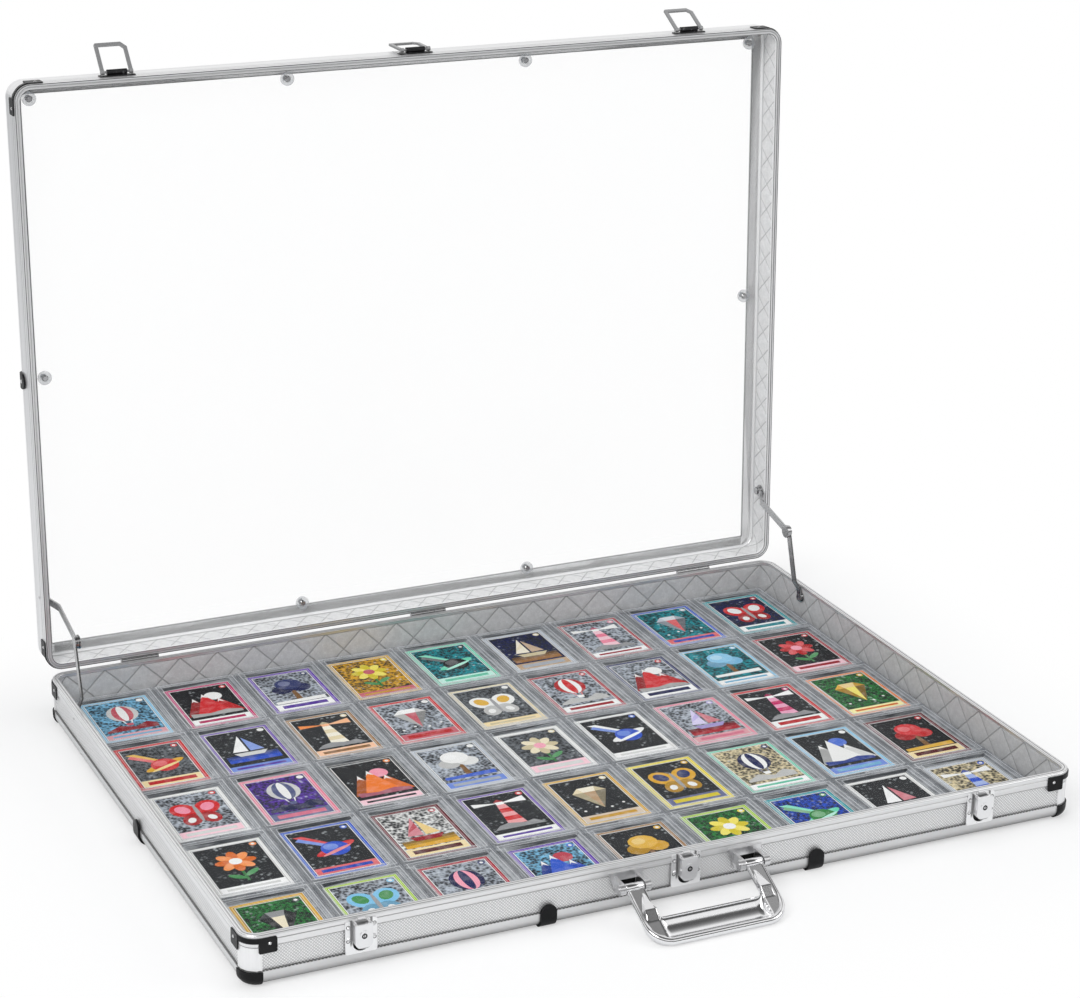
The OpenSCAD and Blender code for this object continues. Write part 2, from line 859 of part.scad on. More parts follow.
stay_base_at = [half_d - stay_base_u, stay_base_z];
stay_lid_closed = [half_d - stay_lid_u, lid_z + stay_lid_w];
stay_lid_at = swing(stay_lid_closed);
elbow_at = meet(stay_base_at, lower_l, stay_lid_at, upper_l);

// Flat link from a wall pivot to the elbow at x, with a step beside the pivot;
// r and hole are the radii of its two ends and of their holes
module link(a, b, x, r, hole) {
  r_a = r[0];
  r_b = r[1];
  length = norm(b - a);
  step = stay_wall_x - x;
  step_at = r_a + 5;
  step_end = step_at + 2 * step;
  turn = link_t * 0.25;
  translate([stay_wall_x, a[0], a[1]]) rotate([atan2(b[1] - a[1], b[0] - a[0]), 0, 0]) intersection() {
    rotate([90, 0, 90]) translate([0, 0, -step - link_t]) linear_extrude(step + link_t) difference() {
      union() {
        translate([0, -link_w / 2]) square([length, link_w]);
        circle(r_a);
        translate([length, 0]) circle(r_b);
      }
      circle(hole[0]);
      if (hole[1] > 0) translate([length, 0]) circle(hole[1]);
    }
    linear_extrude(3 * r_b, center = true) polygon([
      [0, -r_a], [0, step_at], [-step, step_end], [-step, length + r_b], [-step - link_t, length + r_b],
      [-step - link_t, step_end - turn], [-link_t, step_at - turn], [-link_t, -r_a]
    ]);
  }
}

// Round piece on a stay's pivot, from x0 inward to x1
module stay_disc(p, x0, x1, r) {
  translate([x1, p[0], p[1]]) rotate([0, 90, 0]) cylinder(h = x0 - x1, r = r);
}

module on_hand(hand) {
  if (hand > 0) children();
  else mirror([1, 0, 0]) children();
}

module stay_lower(hand) {
  cap_t = 1.2;
  cap_x = upper_x - link_t - pass;
  color("silver") on_hand(hand) {
    link(stay_base_at, elbow_at, lower_x, [link_end_r, elbow_r - 1], [stay_pin_r + run, 0]);
    stay_disc(elbow_at, lower_x, cap_x, stay_pin_r);
    stay_disc(elbow_at, cap_x, cap_x - cap_t, elbow_r);
  }
}

module stay_upper(hand) {
  holes = [stay_pin_r + run, stay_pin_r + stay_slack];
  color("silver") on_hand(hand) link(stay_lid_at, elbow_at, upper_x, [link_end_r, elbow_r - 0.5], holes);
}

// Studs of the wall pivots: a base on the wall, the pin, and a head that keeps the link on
stud_base_r = 5.5;
stud_head_r = 3.6;
stud_head_t = 0.8;
stud_gap = 0.2;

module stay_base_studs() {
  wall_x = half_w - lining_in;
  inner = stay_wall_x - link_t - stud_gap;
  color("silver") for (hand = [-1, 1]) on_hand(hand) {
    stay_disc(stay_base_at, wall_x, stay_wall_x + stud_gap, stud_base_r);
    stay_disc(stay_base_at, wall_x, inner, stay_pin_r);
    stay_disc(stay_base_at, inner, inner - stud_head_t, stud_head_r);
  }
}

module stay_lid_studs() {
  wall_x = half_w - lid_lining_in;
  inner = stay_wall_x - link_t - stud_gap;
  color("silver") for (hand = [-1, 1]) on_hand(hand) {
    stay_disc(stay_lid_at, wall_x, wall_x - stud_head_t, stud_base_r);
    stay_disc(stay_lid_at, wall_x, stay_wall_x + stud_gap, stud_head_r);
    stay_disc(stay_lid_at, wall_x, inner, stay_pin_r);
    stay_disc(stay_lid_at, inner, inner - stud_head_t, stud_head_r);
  }
}

// Contents of the tray

module each_holder(z) {
  for (col = [0:card_cols - 1], row = [0:card_rows - 1]) {
    translate([(col - (card_cols - 1) / 2) * pitch_x, (row - (card_rows - 1) / 2) * pitch_y, z]) children();
  }
}

card_room = 0.4;
magnet_wall = 0.6;
magnet_d = holder_end - card_room - 2 * magnet_wall;
magnet_t = 1.2;
magnet_y = -holder_l / 2 + magnet_wall + magnet_d / 2;
holder_edge = 1;
// Depth of the recess for the card in each half
recess = card_t / 2 + 0.1;

module block(width, length, height) {
  translate([-width / 2, -length / 2, 0]) cube([width, length, height]);
}

// Half of a holder with its flat side down, its recess open to the top
module holder_half() {
  difference() {
    block(holder_w, holder_l, holder_half_t);
    translate([0, 0, holder_half_t - recess]) {
      block(card_w + 2 * card_room, card_l + 2 * card_room, recess + cut);
    }
    translate([0, magnet_y, holder_half_t - magnet_t]) cylinder(h = magnet_t + cut, r = magnet_d / 2 + run);
    for (side = [0:3]) {
      reach = (side % 2 == 0 ? holder_l : holder_w) / 2;
      rotate([0, 0, 90 * side]) translate([0, -reach, 0]) rotate([45, 0, 0]) {
        cube([2 * holder_l, holder_edge, holder_edge], center = true);
      }
    }
  }
}

module card_holder_backs() {
  color("lightsteelblue") each_holder(holder_z) holder_half();
}

module card_holder_covers() {
  color("aliceblue") each_holder(holder_z + 2 * holder_half_t) mirror([0, 0, 1]) holder_half();
}

module cards() {
  color("cornflowerblue") each_holder(holder_z + holder_half_t - recess) block(card_w, card_l, card_t);
}

module holder_magnets() {
  color("silver") each_holder(holder_z + holder_half_t - magnet_t) {
    translate([0, magnet_y, 0]) cylinder(h = 2 * magnet_t, r = magnet_d / 2);
  }
}

// Lid

module lid_rail(side) {
  color("silver") open_lid() difference() {
    translate([0, 0, lid_z]) frame_side(side) rail_profile();
    if (side == BACK) hinge_relief();
  }
}

clip_r = 6.3;
clip_t = 2.5;
// From the case's sides to the clips, and from the middle to the inner ones
clip_inset = 17.3;
clip_side_inset = 20;
clip_mid_x = 118;
screw_r = 1.5;
screw_hole_r = screw_r + 0.2;

// Places of the clips round the window; the hinge side has none at its ends
module each_clip(z) {
  corner_x = half_w - clip_side_inset;
  for (y = [-1, 1], x = [-clip_mid_x, clip_mid_x]) {
    translate([x, y * (half_d - clip_inset), z]) children();
  }
  for (y = [clip_inset - half_d, 0], x = [-corner_x, corner_x]) {
    translate([x, y, z]) children();
  }
}

module lid_window() {
  color("azure", 0.3) open_lid() difference() {
    translate([0, 0, lid_z + window_w0]) linear_extrude(window_t) outline(window_in);
    each_clip(lid_z + window_w0 - cut) cylinder(h = window_t + 2 * cut, r = screw_hole_r);
  }
}

module lid_window_clips() {
  color("lightgray") open_lid() each_clip(lid_z + window_w0 - clip_t) difference() {
    cylinder(h = clip_t, r = clip_r);
    translate([0, 0, -cut]) cylinder(h = clip_t + 2 * cut, r = screw_hole_r);
  }
}

module lid_clip_screws() {
  head_t = 1.2;
  nut_t = 1.4;
  color("silver") open_lid() each_clip(lid_z + window_w0 - clip_t) {
    translate([0, 0, -head_t]) cylinder(h = head_t, r1 = 2, r2 = 3);
    cylinder(h = clip_t + window_t, r = screw_r);
    translate([0, 0, clip_t + window_t]) cylinder(h = nut_t, r = 2.9, $fn = 6);
  }
}

module lid_lining() {
  color("lightgray") open_lid() lining_ring(profile_t, lid_lining_in, lid_z + rim_head, lid_z + window_w0);
}

module lid_corner_straps() {
  color("black") open_lid() translate([0, 0, lid_z + strap_drop]) mirror([0, 0, 1]) corner_straps();
}

module lid_bumpers() {
  height = 0.8 * foot_rise;
  color("black") open_lid() for (side = [LEFT, RIGHT]) {
    translate([0, 0, lid_z + lid_h + foot_h]) mirror([0, 0, 1]) on_side(side) foot(height, lid_r);
  }
}

module lid_rivets() {
  color("silver") open_lid() {
    strap_rivets(lid_z + strap_drop + strap_rivet_drop);
    leaf_rivets(lid_z + leaf_h - leaf_rivet_in);
    for (x = latch_places(), dx = [-1, 1]) {
      on_side(FRONT, x + dx * (bail_base_w / 2 - bail_rivet_in), lid_z + bail_rise + bail_rivet_up) {
        translate([0, -bail_base_t, 0]) rivet(bail_rivet_r);
      }
    }
    for (side = [LEFT, RIGHT]) {
      on_side(side, 0, lid_z + lid_h - bumper_rivet_in) translate([0, -foot_t, 0]) rivet(bumper_rivet_r);
    }
    on_side(RIGHT, half_d - stay_lid_u, lid_z + stay_lid_w) rivet(stay_rivet_r);
    on_side(LEFT, stay_lid_u - half_d, lid_z + stay_lid_w) rivet(stay_rivet_r);
  }
}

// Bails, drawn hanging out level along -Y from their axis on the closed lid

bail_base_w = 32;
bail_base_h = 7;
bail_base_t = 1;
bail_knuckle_r = 2.3;
bail_knuckle_l = 18;
bail_pin_l = 3.5;
bail_web_t = 2;

module at_bail(place) {
  on_side(FRONT, latch_places()[place], lid_z + bail_rise) translate([0, -bail_out, 0]) children();
}

module bail_brackets() {
  color("dimgray") open_lid() for (place = [0:2]) {
    at_bail(place) difference() {
      union() {
        translate([-bail_base_w / 2, bail_out - bail_base_t, -bail_base_h / 2]) {
          cube([bail_base_w, bail_base_t, bail_base_h]);
        }
        translate([-bail_knuckle_l / 2, 0, -bail_web_t / 2]) {
          cube([bail_knuckle_l, bail_out - bail_base_t / 2, bail_web_t]);
        }
        along_x(bail_knuckle_l, bail_knuckle_r);
      }
      for (side = [-1, 1]) {
        translate([side * bail_knuckle_l / 2, 0, 0]) along_x(2 * (bail_pin_l + pass), bail_pin_r + run);
      }
    }
  }
}

module bail(place) {
  bar_x = bail_w / 2 - bail_bar / 2;
  chamfer = 5;
  inner = bail_w - 2 * bail_bar;
  pin_end = bail_knuckle_l / 2 - bail_pin_l;
  color("silver") open_lid() at_bail(place) rotate([-bail_lean[place], 0, 0]) {
    translate([0, 0, -bail_t / 2]) linear_extrude(bail_t) difference() {
      polygon([
        [-bail_w / 2, 0], [bail_w / 2, 0], [bail_w / 2, -bail_l + chamfer], [bail_w / 2 - chamfer, -bail_l],
        [-bail_w / 2 + 1, -bail_l], [-bail_w / 2, -bail_l + 1]
      ]);
      polygon([
        [-inner / 2, cut], [inner / 2, cut], [inner / 2, -bail_l + bail_bar + chamfer * 0.6],
        [inner / 2 - chamfer * 0.6, -bail_l + bail_bar], [-inner / 2, -bail_l + bail_bar]
      ]);
    }
    for (side = [-1, 1]) {
      translate([side * bar_x, 0, 0]) along_x(bail_bar, bail_t);
      translate([side * (pin_end + bail_w / 2) / 2, 0, 0]) along_x(bail_w / 2 - pin_end, bail_pin_r);
    }
  }
}

base_floor();
base_pad();
base_lining();
base_panel(FRONT);  // base_panel_front
base_panel(RIGHT);  // base_panel_right
base_panel(BACK);  // base_panel_back
base_panel(LEFT);  // base_panel_left
base_sill(FRONT);  // base_sill_front
base_sill(RIGHT);  // base_sill_right
base_sill(BACK);  // base_sill_back
base_sill(LEFT);  // base_sill_left
base_rim(FRONT);  // base_rim_front
base_rim(RIGHT);  // base_rim_right
base_rim(BACK);  // base_rim_back
base_rim(LEFT);  // base_rim_left
base_corner_posts();
base_corner_straps();
base_corner_cups();
base_feet();
base_rivets();
base_hinge_leaves();
hinge_pins();
latch_plates();
latch_pins();
handle_brackets();
handle_pins();
stay_base_studs();
card_holder_backs();
card_holder_covers();
cards();
holder_magnets();
handle();
latch_lever(0);  // latch_lever_left
latch_lever(1);  // latch_lever_centre
latch_lever(2);  // latch_lever_right
lock_barrel(0);  // lock_barrel_left
lock_barrel(1);  // lock_barrel_centre
lock_barrel(2);  // lock_barrel_right
stay_lower(-1);  // stay_lower_left
stay_lower(1);  // stay_lower_right
stay_upper(-1);  // stay_upper_left
stay_upper(1);  // stay_upper_right
bail(0);  // bail_left
bail(1);  // bail_centre
bail(2);  // bail_right
lid_rail(FRONT);  // lid_rail_front
lid_rail(RIGHT);  // lid_rail_right
lid_rail(BACK);  // lid_rail_back
lid_rail(LEFT);  // lid_rail_left
lid_window();
lid_window_clips();
lid_clip_screws();
lid_lining();
lid_corner_straps();
lid_bumpers();
lid_hinge_leaves();
bail_brackets();
lid_rivets();
stay_lid_studs();
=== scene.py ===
"""Finish of a trading card display case.

Metals, quilted lining, clear holders, printed cards and a studio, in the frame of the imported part.
"""

import json
import math

import bmesh
import bpy
from bpy.props import FloatProperty, FloatVectorProperty, PointerProperty
from mathutils import Matrix, Vector, noise


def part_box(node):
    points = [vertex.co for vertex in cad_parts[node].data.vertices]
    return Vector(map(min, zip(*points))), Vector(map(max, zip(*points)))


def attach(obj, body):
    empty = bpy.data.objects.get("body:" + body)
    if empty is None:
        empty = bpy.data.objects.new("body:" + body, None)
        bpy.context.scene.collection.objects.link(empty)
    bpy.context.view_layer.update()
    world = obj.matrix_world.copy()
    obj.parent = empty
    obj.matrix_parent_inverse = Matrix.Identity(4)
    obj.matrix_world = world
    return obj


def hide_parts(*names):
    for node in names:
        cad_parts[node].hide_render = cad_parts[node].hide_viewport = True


bl_info = {
    "name": "Card Display Case",
    "version": (1, 0, 0),
    "blender": (4, 5, 0),
    "location": "3D View > Sidebar > Display Case",
    "description": "Dresses a packed display case with its finishes, lining, cards and studio",
    "category": "Object",
}

MM = 0.001

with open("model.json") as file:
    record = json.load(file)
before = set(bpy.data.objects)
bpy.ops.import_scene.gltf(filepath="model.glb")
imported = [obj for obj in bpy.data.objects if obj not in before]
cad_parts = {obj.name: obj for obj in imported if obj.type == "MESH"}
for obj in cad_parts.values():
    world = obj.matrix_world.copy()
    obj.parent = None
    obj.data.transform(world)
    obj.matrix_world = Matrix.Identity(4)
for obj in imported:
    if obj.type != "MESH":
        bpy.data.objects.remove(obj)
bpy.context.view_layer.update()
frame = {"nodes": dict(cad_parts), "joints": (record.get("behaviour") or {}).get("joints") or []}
NODES = frame["nodes"]
JOINTS = {joint["name"]: joint for joint in frame["joints"]}

CARD_W = 63.5 * MM
CARD_L = 88.9 * MM
CARD_COLS = 9
CARD_ROWS = 5
CORNER_R = 15 * MM
# Distances from the card's edge of the two painted highlight lines in a holder's border
HOLDER_RIDGE = 5.2 * MM
HOLDER_LIP = 1.2 * MM

# The cast handle, drawn level and in millimetres: half width, arm, length, width of the grip,
# radius of the corners outside and inside, and droop in degrees
HANDLE_OUT = 62.0
HANDLE_ARM = 16.0
HANDLE_L = 60.0
HANDLE_GRIP = 27.5
HANDLE_R = 20.0
INNER_R = 3.0
HANDLE_DROOP = 26.0
# Inner side of an arm and of the grip
ARM_INSIDE = HANDLE_OUT - HANDLE_ARM
GRIP_FROM = HANDLE_L - HANDLE_GRIP
# Height of the arm's face, rise of the wedge on it and depth of the grip's trough
HANDLE_FACE = 1.2
WEDGE_RISE = 3.2
TROUGH_DEPTH = 5.9
# Radius of the inner edge, of the grip's underside, of the eye round a pin and of its bore
EDGE_R = 1.1
SHELL_R = 17.6
EYE_R = 4.0
PIN_BORE_R = 2.3


# Places worked out from the frame


def holder_pitch():
    """Distances between neighbouring cards, left to right and front to back."""
    low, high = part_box("cards")
    return (
        (high.x - low.x - CARD_W) / (CARD_COLS - 1),
        (high.y - low.y - CARD_L) / (CARD_ROWS - 1),
    )


def lid_swing():
    """Matrix that takes a point of the closed lid to its place on the open one."""
    hinge = JOINTS["lid_hinge"]
    centre = Matrix.Translation(Vector(hinge["pos_m"]))
    turn = Matrix.Rotation(-math.radians(hinge["range_deg"][1]), 4, "X")
    return centre @ turn @ centre.inverted()


def case_width():
    """Outside width of the case's walls."""
    return -2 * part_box("base_sill_left")[0].x


def closed_box(node):
    """Lowest and highest corner that a lid node has when the lid is closed."""
    back = lid_swing().inverted()
    points = [back @ vertex.co for vertex in NODES[node].data.vertices]
    low = Vector(min(point[axis] for point in points) for axis in range(3))
    high = Vector(max(point[axis] for point in points) for axis in range(3))
    return low, high


# Shader building


def math_node(operation):
    """A method of Signal that adds one kind of Math node."""
    return lambda signal, *others: signal.math(operation, *others)


class Signal:
    """A socket that can be used in sums; each operation adds its Math node."""

    __add__ = __radd__ = math_node("ADD")
    __sub__ = math_node("SUBTRACT")
    __mul__ = __rmul__ = math_node("MULTIPLY")
    __truediv__ = math_node("DIVIDE")
    __pow__ = math_node("POWER")
    sine = math_node("SINE")
    size = math_node("ABSOLUTE")
    fraction = math_node("FRACT")
    least = math_node("MINIMUM")
    most = math_node("MAXIMUM")

    def __init__(self, paint, socket):
        self.paint = paint
        self.socket = socket

    def __rsub__(self, other):
        return self.paint.number(other).math("SUBTRACT", self)

    def math(self, operation, *others):
        """One Math node of this and up to two more values."""
        sockets = dict(enumerate((self, *others)))
        return self.paint.node("ShaderNodeMath", {"operation": operation}, sockets)

    def ramp(self, start, end):
        """0 below start, 1 above end, and smooth between them."""
        settings = {"interpolation_type": "SMOOTHSTEP"}
        sockets = {"Value": self, "From Min": start, "From Max": end}
        return self.paint.node("ShaderNodeMapRange", settings, sockets)


class Paint:
    """One material and the nodes that feed its Principled shader."""

    def __init__(self, name, roughness=0.5, metallic=0.0, **constants):
        self.material = bpy.data.materials.new(name)
        self.material.use_nodes = True
        self.tree = self.material.node_tree
        self.shader = self.tree.nodes["Principled BSDF"]
        self.set("Roughness", roughness)
        self.set("Metallic", metallic)
        for socket, value in constants.items():
            self.set(socket.replace("_", " "), value)

    def set(self, socket, value):
        """Gives a socket of the Principled shader a constant or a link."""
        self.fill(self.shader.inputs[socket], value)

    def fill(self, socket, value):
        """Gives any input socket a constant or a link."""
        if isinstance(value, Signal):
            self.tree.links.new(value.socket, socket)
        elif isinstance(value, (tuple, list)) and len(value) == 3 and socket.type == "RGBA":
            socket.default_value = (*value, 1.0)
        else:
            socket.default_value = value

    def node(self, kind, settings=None, sockets=None, output=0):
        """Adds one node: its settings first, then its input sockets, and hands back one output."""
        node = self.tree.nodes.new(kind)
        for name, value in (settings or {}).items():
            setattr(node, name, value)
        for key, value in (sockets or {}).items():
            self.fill(node.inputs[key], value)
        return Signal(self, node.outputs[output])

    def number(self, value):
        """A constant as a signal, for sums that start with it."""
        return self.node("ShaderNodeMath", {"operation": "ADD"}, {0: value, 1: 0.0})

    def place(self):
        """Position in the frame of the case, in metres, that stays with its piece."""
        return self.node("ShaderNodeTexCoord", output="Object")

    def axes(self, vector=None):
        """The three parts of a vector, the place by default."""
        vector = vector or self.place()
        split = self.tree.nodes.new("ShaderNodeSeparateXYZ")
        self.tree.links.new(vector.socket, split.inputs[0])
        return [Signal(self, output) for output in split.outputs]

    def closed_place(self):
        """The place that a point of the lid has when the lid is closed."""
        hinge = JOINTS["lid_hinge"]
        sockets = {
            "Vector": self.place(), "Center": tuple(hinge["pos_m"]),
            "Angle": math.radians(hinge["range_deg"][1]),
        }
        return self.node("ShaderNodeVectorRotate", {"rotation_type": "X_AXIS"}, sockets)

    def stretched(self, x, y, z):
        """The place with each axis scaled."""
        sockets = {0: self.place(), 1: (x, y, z)}
        return self.node("ShaderNodeVectorMath", {"operation": "MULTIPLY"}, sockets)

    def attribute(self, name, output="Fac"):
        """A value or colour that comes with the mesh."""
        return self.node("ShaderNodeAttribute", {"attribute_name": name}, output=output)

    def noise(self, scale, detail=3.0, roughness=0.5, vector=None):
        """Cloudy noise from 0 to 1."""
        sockets = {"Scale": scale, "Detail": detail, "Roughness": roughness}
        sockets["Vector"] = vector or self.place()
        return self.node("ShaderNodeTexNoise", None, sockets)

    def cells(self, scale):
        """Distance to the nearest of a cloud of points."""
        return self.node("ShaderNodeTexVoronoi", None, {"Vector": self.place(), "Scale": scale})

    def blend(self, factor, first, second):
        """Mixes two colours."""
        settings = {"data_type": "RGBA", "clamp_factor": True}
        return self.node("ShaderNodeMix", settings, {0: factor, 6: first, 7: second}, output=2)

    def done(self, colour, roughness, relief=None, distance=0.0, strength=1.0):
        """The material, once its colour, roughness and relief are in."""
        self.set("Base Color", colour)
        self.set("Roughness", roughness)
        if relief:
            self.bump(relief, distance, strength)
        return self.material

    def ray(self, *kinds):
        """1 for light rays of any of these kinds."""
        path = self.tree.nodes.new("ShaderNodeLightPath")
        first, *others = [Signal(self, path.outputs[f"Is {kind} Ray"]) for kind in kinds]
        for other in others:
            first = first.most(other)
        return first

    def glow(self, kind, colour, strength):
        """The output of an Emission or Background shader."""
        return self.node(kind, None, {"Color": colour, "Strength": strength})

    def mixed(self, factor, first, second):
        """Two shaders mixed by a factor."""
        return self.node("ShaderNodeMixShader", None, {0: factor, 1: first, 2: second})

    def bump(self, height, distance, strength=1.0):
        """Gives the surface a relief of a height in metres."""
        sockets = {"Height": height, "Distance": distance, "Strength": strength}
        self.set("Normal", self.node("ShaderNodeBump", None, sockets))


def linear(colour):
    """A colour as the eye sees it, as the light values that Blender mixes."""
    return tuple(
        part / 12.92 if part <= 0.04045 else ((part + 0.055) / 1.055) ** 2.4 for part in colour
    )


def shade(colour, factor):
    """A colour made darker, or lighter towards white."""
    if factor <= 1:
        return tuple(part * factor for part in colour)
    return tuple(part + (1 - part) * (factor - 1) for part in colour)


# Finishes

SATIN_METALLIC = 0.7
# Depth and half width, in millimetres, of the painted shade lines along the mating faces
FACE_GROOVES = ((0.5, 0.4), (2.7, 0.5), (4.9, 0.4))
# Distance between the pimples of the wall sheets, and of the dashes of painted shadow along the
# sill's seam
PIMPLE_PITCH = 5.4 * MM
SEAM_SHADOW_PITCH = 3.0 * MM
# Distance from the mating face and half width in millimetres, and darkness, of painted shade lines
# outside
RIM_LINES = ((4.8, 0.6, 0.35), (1.3, 0.35, 0.2), (10.6, 0.5, 0.5))
RAIL_LINES = ((4.8, 0.6, 0.55), (10.2, 0.6, 0.55), (1.2, 0.4, 0.4))
# Painted shade in the wells behind the latches: height of the middle, half width and half height
WELL_AT = 24 * MM
WELL_HALF_W = 7.6 * MM
WELL_HALF_H = 10 * MM
# Painted shade in the gap between a bracket's cheeks: half width, lowest and highest point
CHEEK_GAP_HALF = 8.2 * MM
CHEEK_GAP_LOW = 23 * MM
CHEEK_GAP_HIGH = 30 * MM
# Distances from a latch's middle of the recess beside its lever and of the plate's rivets
RECESS_AT = 8.3 * MM
RIVET_AT = (10.9 * MM, 6 * MM)
KEY_RING_R = 1.7 * MM
SIDES = ("left", "centre", "right")
WALLS = ("front", "right", "back", "left")


def stripe(value, at, half):
    """1 on a line at a value and 0 beside it."""
    return 1 - (value - at).size().ramp(half * 0.5, half)


def round_the_case(paint, vector):
    """Depth in from the outer faces, height and place along, for profiles that turn corners."""
    x, y, z = paint.axes(vector)
    low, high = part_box("base_sill_left")
    over_x = (x.size() + (low.x + CORNER_R)).most(0.0)
    over_y = (y.size() - (high.y - CORNER_R)).most(0.0)
    depth = CORNER_R - (over_x * over_x + over_y * over_y) ** 0.5
    return depth, z, x + y


def drawn_lines(paint, where, fine=900, run_scale=5, detail=4.0, roughness=0.6):
    """Lines that run round the case, as the die leaves them in an extrusion."""
    depth, height, run = where
    sockets = {0: depth * fine, 1: height * fine, 2: run * run_scale}
    vector = paint.node("ShaderNodeCombineXYZ", None, sockets)
    return paint.noise(1.0, detail, roughness, vector)


def satin_aluminium(name, colour, face, painted_shade_lines, closed=False):
    """Anodised extrusion with drawing lines.

    face is the height of the mating face. painted_shade_lines are the height, half width and
    darkness of the lines of painted shade in the grooves and along the edges outside.
    """
    paint = Paint(name, metallic=SATIN_METALLIC, Specular_IOR_Level=0.5)
    where = round_the_case(paint, paint.closed_place() if closed else paint.place())
    depth, height, _ = where
    lines = drawn_lines(paint, where)
    bands = drawn_lines(paint, where, 260, 3, 1.0, 0.5)
    clouds = paint.noise(9.0, 3.0)
    scuffs = paint.noise(160.0, 2.0).ramp(0.66, 0.8)
    base = paint.blend(lines, shade(colour, 0.86), shade(colour, 1.1))
    base = paint.blend(bands.ramp(0.48, 0.6) * 0.3, base, shade(colour, 0.68))
    base = paint.blend(clouds.ramp(0.3, 0.8) * 0.2, base, shade(colour, 0.86))
    # Scuffs, and painted shade as dark lines in the grooves and along the edges
    marks = scuffs * 0.06
    for at, half, dark in painted_shade_lines:
        marks = marks.most(stripe(height, at, half) * dark)
    flat = 1 - (height - face).size().ramp(0.3 * MM, 0.5 * MM)
    deep = 0.95 if closed else 0.5
    for at, half in FACE_GROOVES:
        marks = marks.most(stripe(depth, at * MM, half * MM) * flat * deep)
    if closed:
        # Painted light: the inner faces of the closed rails are made near-white and not metallic so
        # that they read bright in their shade, with a line of painted shade along their inner edge
        low, high = closed_box("lid_rail_front")
        below_flange = 1 - height.ramp(high.z - 0.6 * MM, high.z - 0.2 * MM)
        inside = depth.ramp(2.0 * MM, 2.6 * MM) * (1 - flat) * below_flange
        base = paint.blend(inside, base, (0.97, 0.97, 0.97))
        paint.set("Metallic", SATIN_METALLIC - inside * SATIN_METALLIC)
        marks = marks.most(stripe(depth, high.y - low.y, 1.0 * MM) * 0.6)
    shown = paint.blend(marks, base, (0.04, 0.04, 0.042))
    roughness = 0.22 + lines * 0.1 + clouds * 0.08 + scuffs * 0.08
    return paint.done(shown, roughness, lines * 0.6 + scuffs * 0.2, 0.02 * MM)


def post_aluminium(colour):
    """Corner posts, drawn upright and brighter than the other profiles."""
    paint = Paint("post_aluminium", metallic=0.35, Specular_IOR_Level=0.5)
    lines = paint.noise(1.0, 4.0, 0.6, paint.stretched(500, 500, 4))
    clouds = paint.noise(14.0, 4.0)
    base = paint.blend(lines, shade(colour, 0.92), shade(colour, 1.3))
    shown = paint.blend(clouds.ramp(0.4, 0.8) * 0.2, base, shade(colour, 0.85))
    return paint.done(shown, 0.26 + lines * 0.1 + clouds * 0.1, lines, 0.015 * MM)


def sill_aluminium(colour, top):
    """The sill: as the other profiles, with a dashed line of painted shadow along the seam under the
    wall sheets and painted shade towards the bottom.
    """
    paint = Paint("sill_aluminium", metallic=SATIN_METALLIC, Specular_IOR_Level=0.5)
    where = round_the_case(paint, paint.place())
    _, height, run = where
    lines = drawn_lines(paint, where)
    clouds = paint.noise(9.0, 3.0)
    # Painted shadow in the seam under the wall sheets, near the sill's top, broken into dashes
    seam_shadow_dashes = (run * (2 * math.pi / SEAM_SHADOW_PITCH)).sine().ramp(-0.7, 0.3)
    edge = height.ramp(top - 1.0 * MM, top - 0.5 * MM)
    base = paint.blend(lines, shade(colour, 0.88), shade(colour, 1.08))
    # Painted shade, darker towards the bottom, where the shadow on the floor is mirrored
    base = paint.blend(1 - height.ramp(0.5 * MM, top - 2 * MM), base, shade(colour, 0.34))
    base = paint.blend(clouds.ramp(0.35, 0.75) * 0.3, base, shade(colour, 0.6))
    shown = paint.blend(edge * (0.5 + seam_shadow_dashes * 0.45), base, (0.02, 0.02, 0.02))
    return paint.done(shown, 0.24 + lines * 0.1 + clouds * 0.1, lines, 0.02 * MM)


def pimpled_sheet(colour):
    """Thin aluminium sheet rolled with a fine lattice of pimples."""
    paint = Paint("pimpled_sheet", metallic=0.6, Specular_IOR_Level=0.5)
    x, y, z = paint.axes()
    turn = 2 * math.pi / PIMPLE_PITCH
    across = x + y
    lattice = ((across + z) * turn).sine() * ((across - z) * turn).sine()
    pimple = lattice.size().ramp(0.2, 0.75)
    grime = paint.noise(26.0, 4.0)
    base = paint.blend(pimple, shade(colour, 0.7), shade(colour, 1.5))
    base = paint.blend(grime.ramp(0.45, 0.9) * 0.2, base, shade(colour, 0.8))
    # Painted shade in the wells behind the latches on the front wall, where the mechanism's shadow
    # falls
    well_shade = paint.number(0.0)
    for side in SIDES:
        low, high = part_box(f"latch_lever_{side}")
        beside = (x - (low.x + high.x) / 2).size()
        above = (z - WELL_AT).size()
        wide = 1 - beside.ramp(WELL_HALF_W - 0.2 * MM, WELL_HALF_W + 0.2 * MM)
        tall = 1 - above.ramp(WELL_HALF_H - 0.5 * MM, WELL_HALF_H + 0.5 * MM)
        well_shade = well_shade.most(wide * tall)
    front = 1 - y.ramp(-0.25, -0.24)
    shown = paint.blend(well_shade * front, base, (0.015, 0.015, 0.016))
    return paint.done(shown, 0.42 - pimple * 0.08 + grime * 0.1, pimple, 0.16 * MM, 0.8)


def moulded_black(colour):
    """Black moulded plastic with a fine leathery grain and rubbed high spots."""
    paint = Paint("moulded_black", Specular_IOR_Level=0.16)
    grain = paint.cells(1400.0)
    dust = paint.noise(70.0, 5.0)
    rubbed = paint.noise(24.0, 3.0).ramp(0.55, 0.8)
    base = paint.blend(dust.ramp(0.5, 0.85) * 0.4, colour, shade(colour, 1.02))
    shown = paint.blend(rubbed * 0.35, base, shade(colour, 1.03))
    return paint.done(shown, 0.3 + grain * 0.16 - rubbed * 0.1, grain, 0.05 * MM, 0.6)


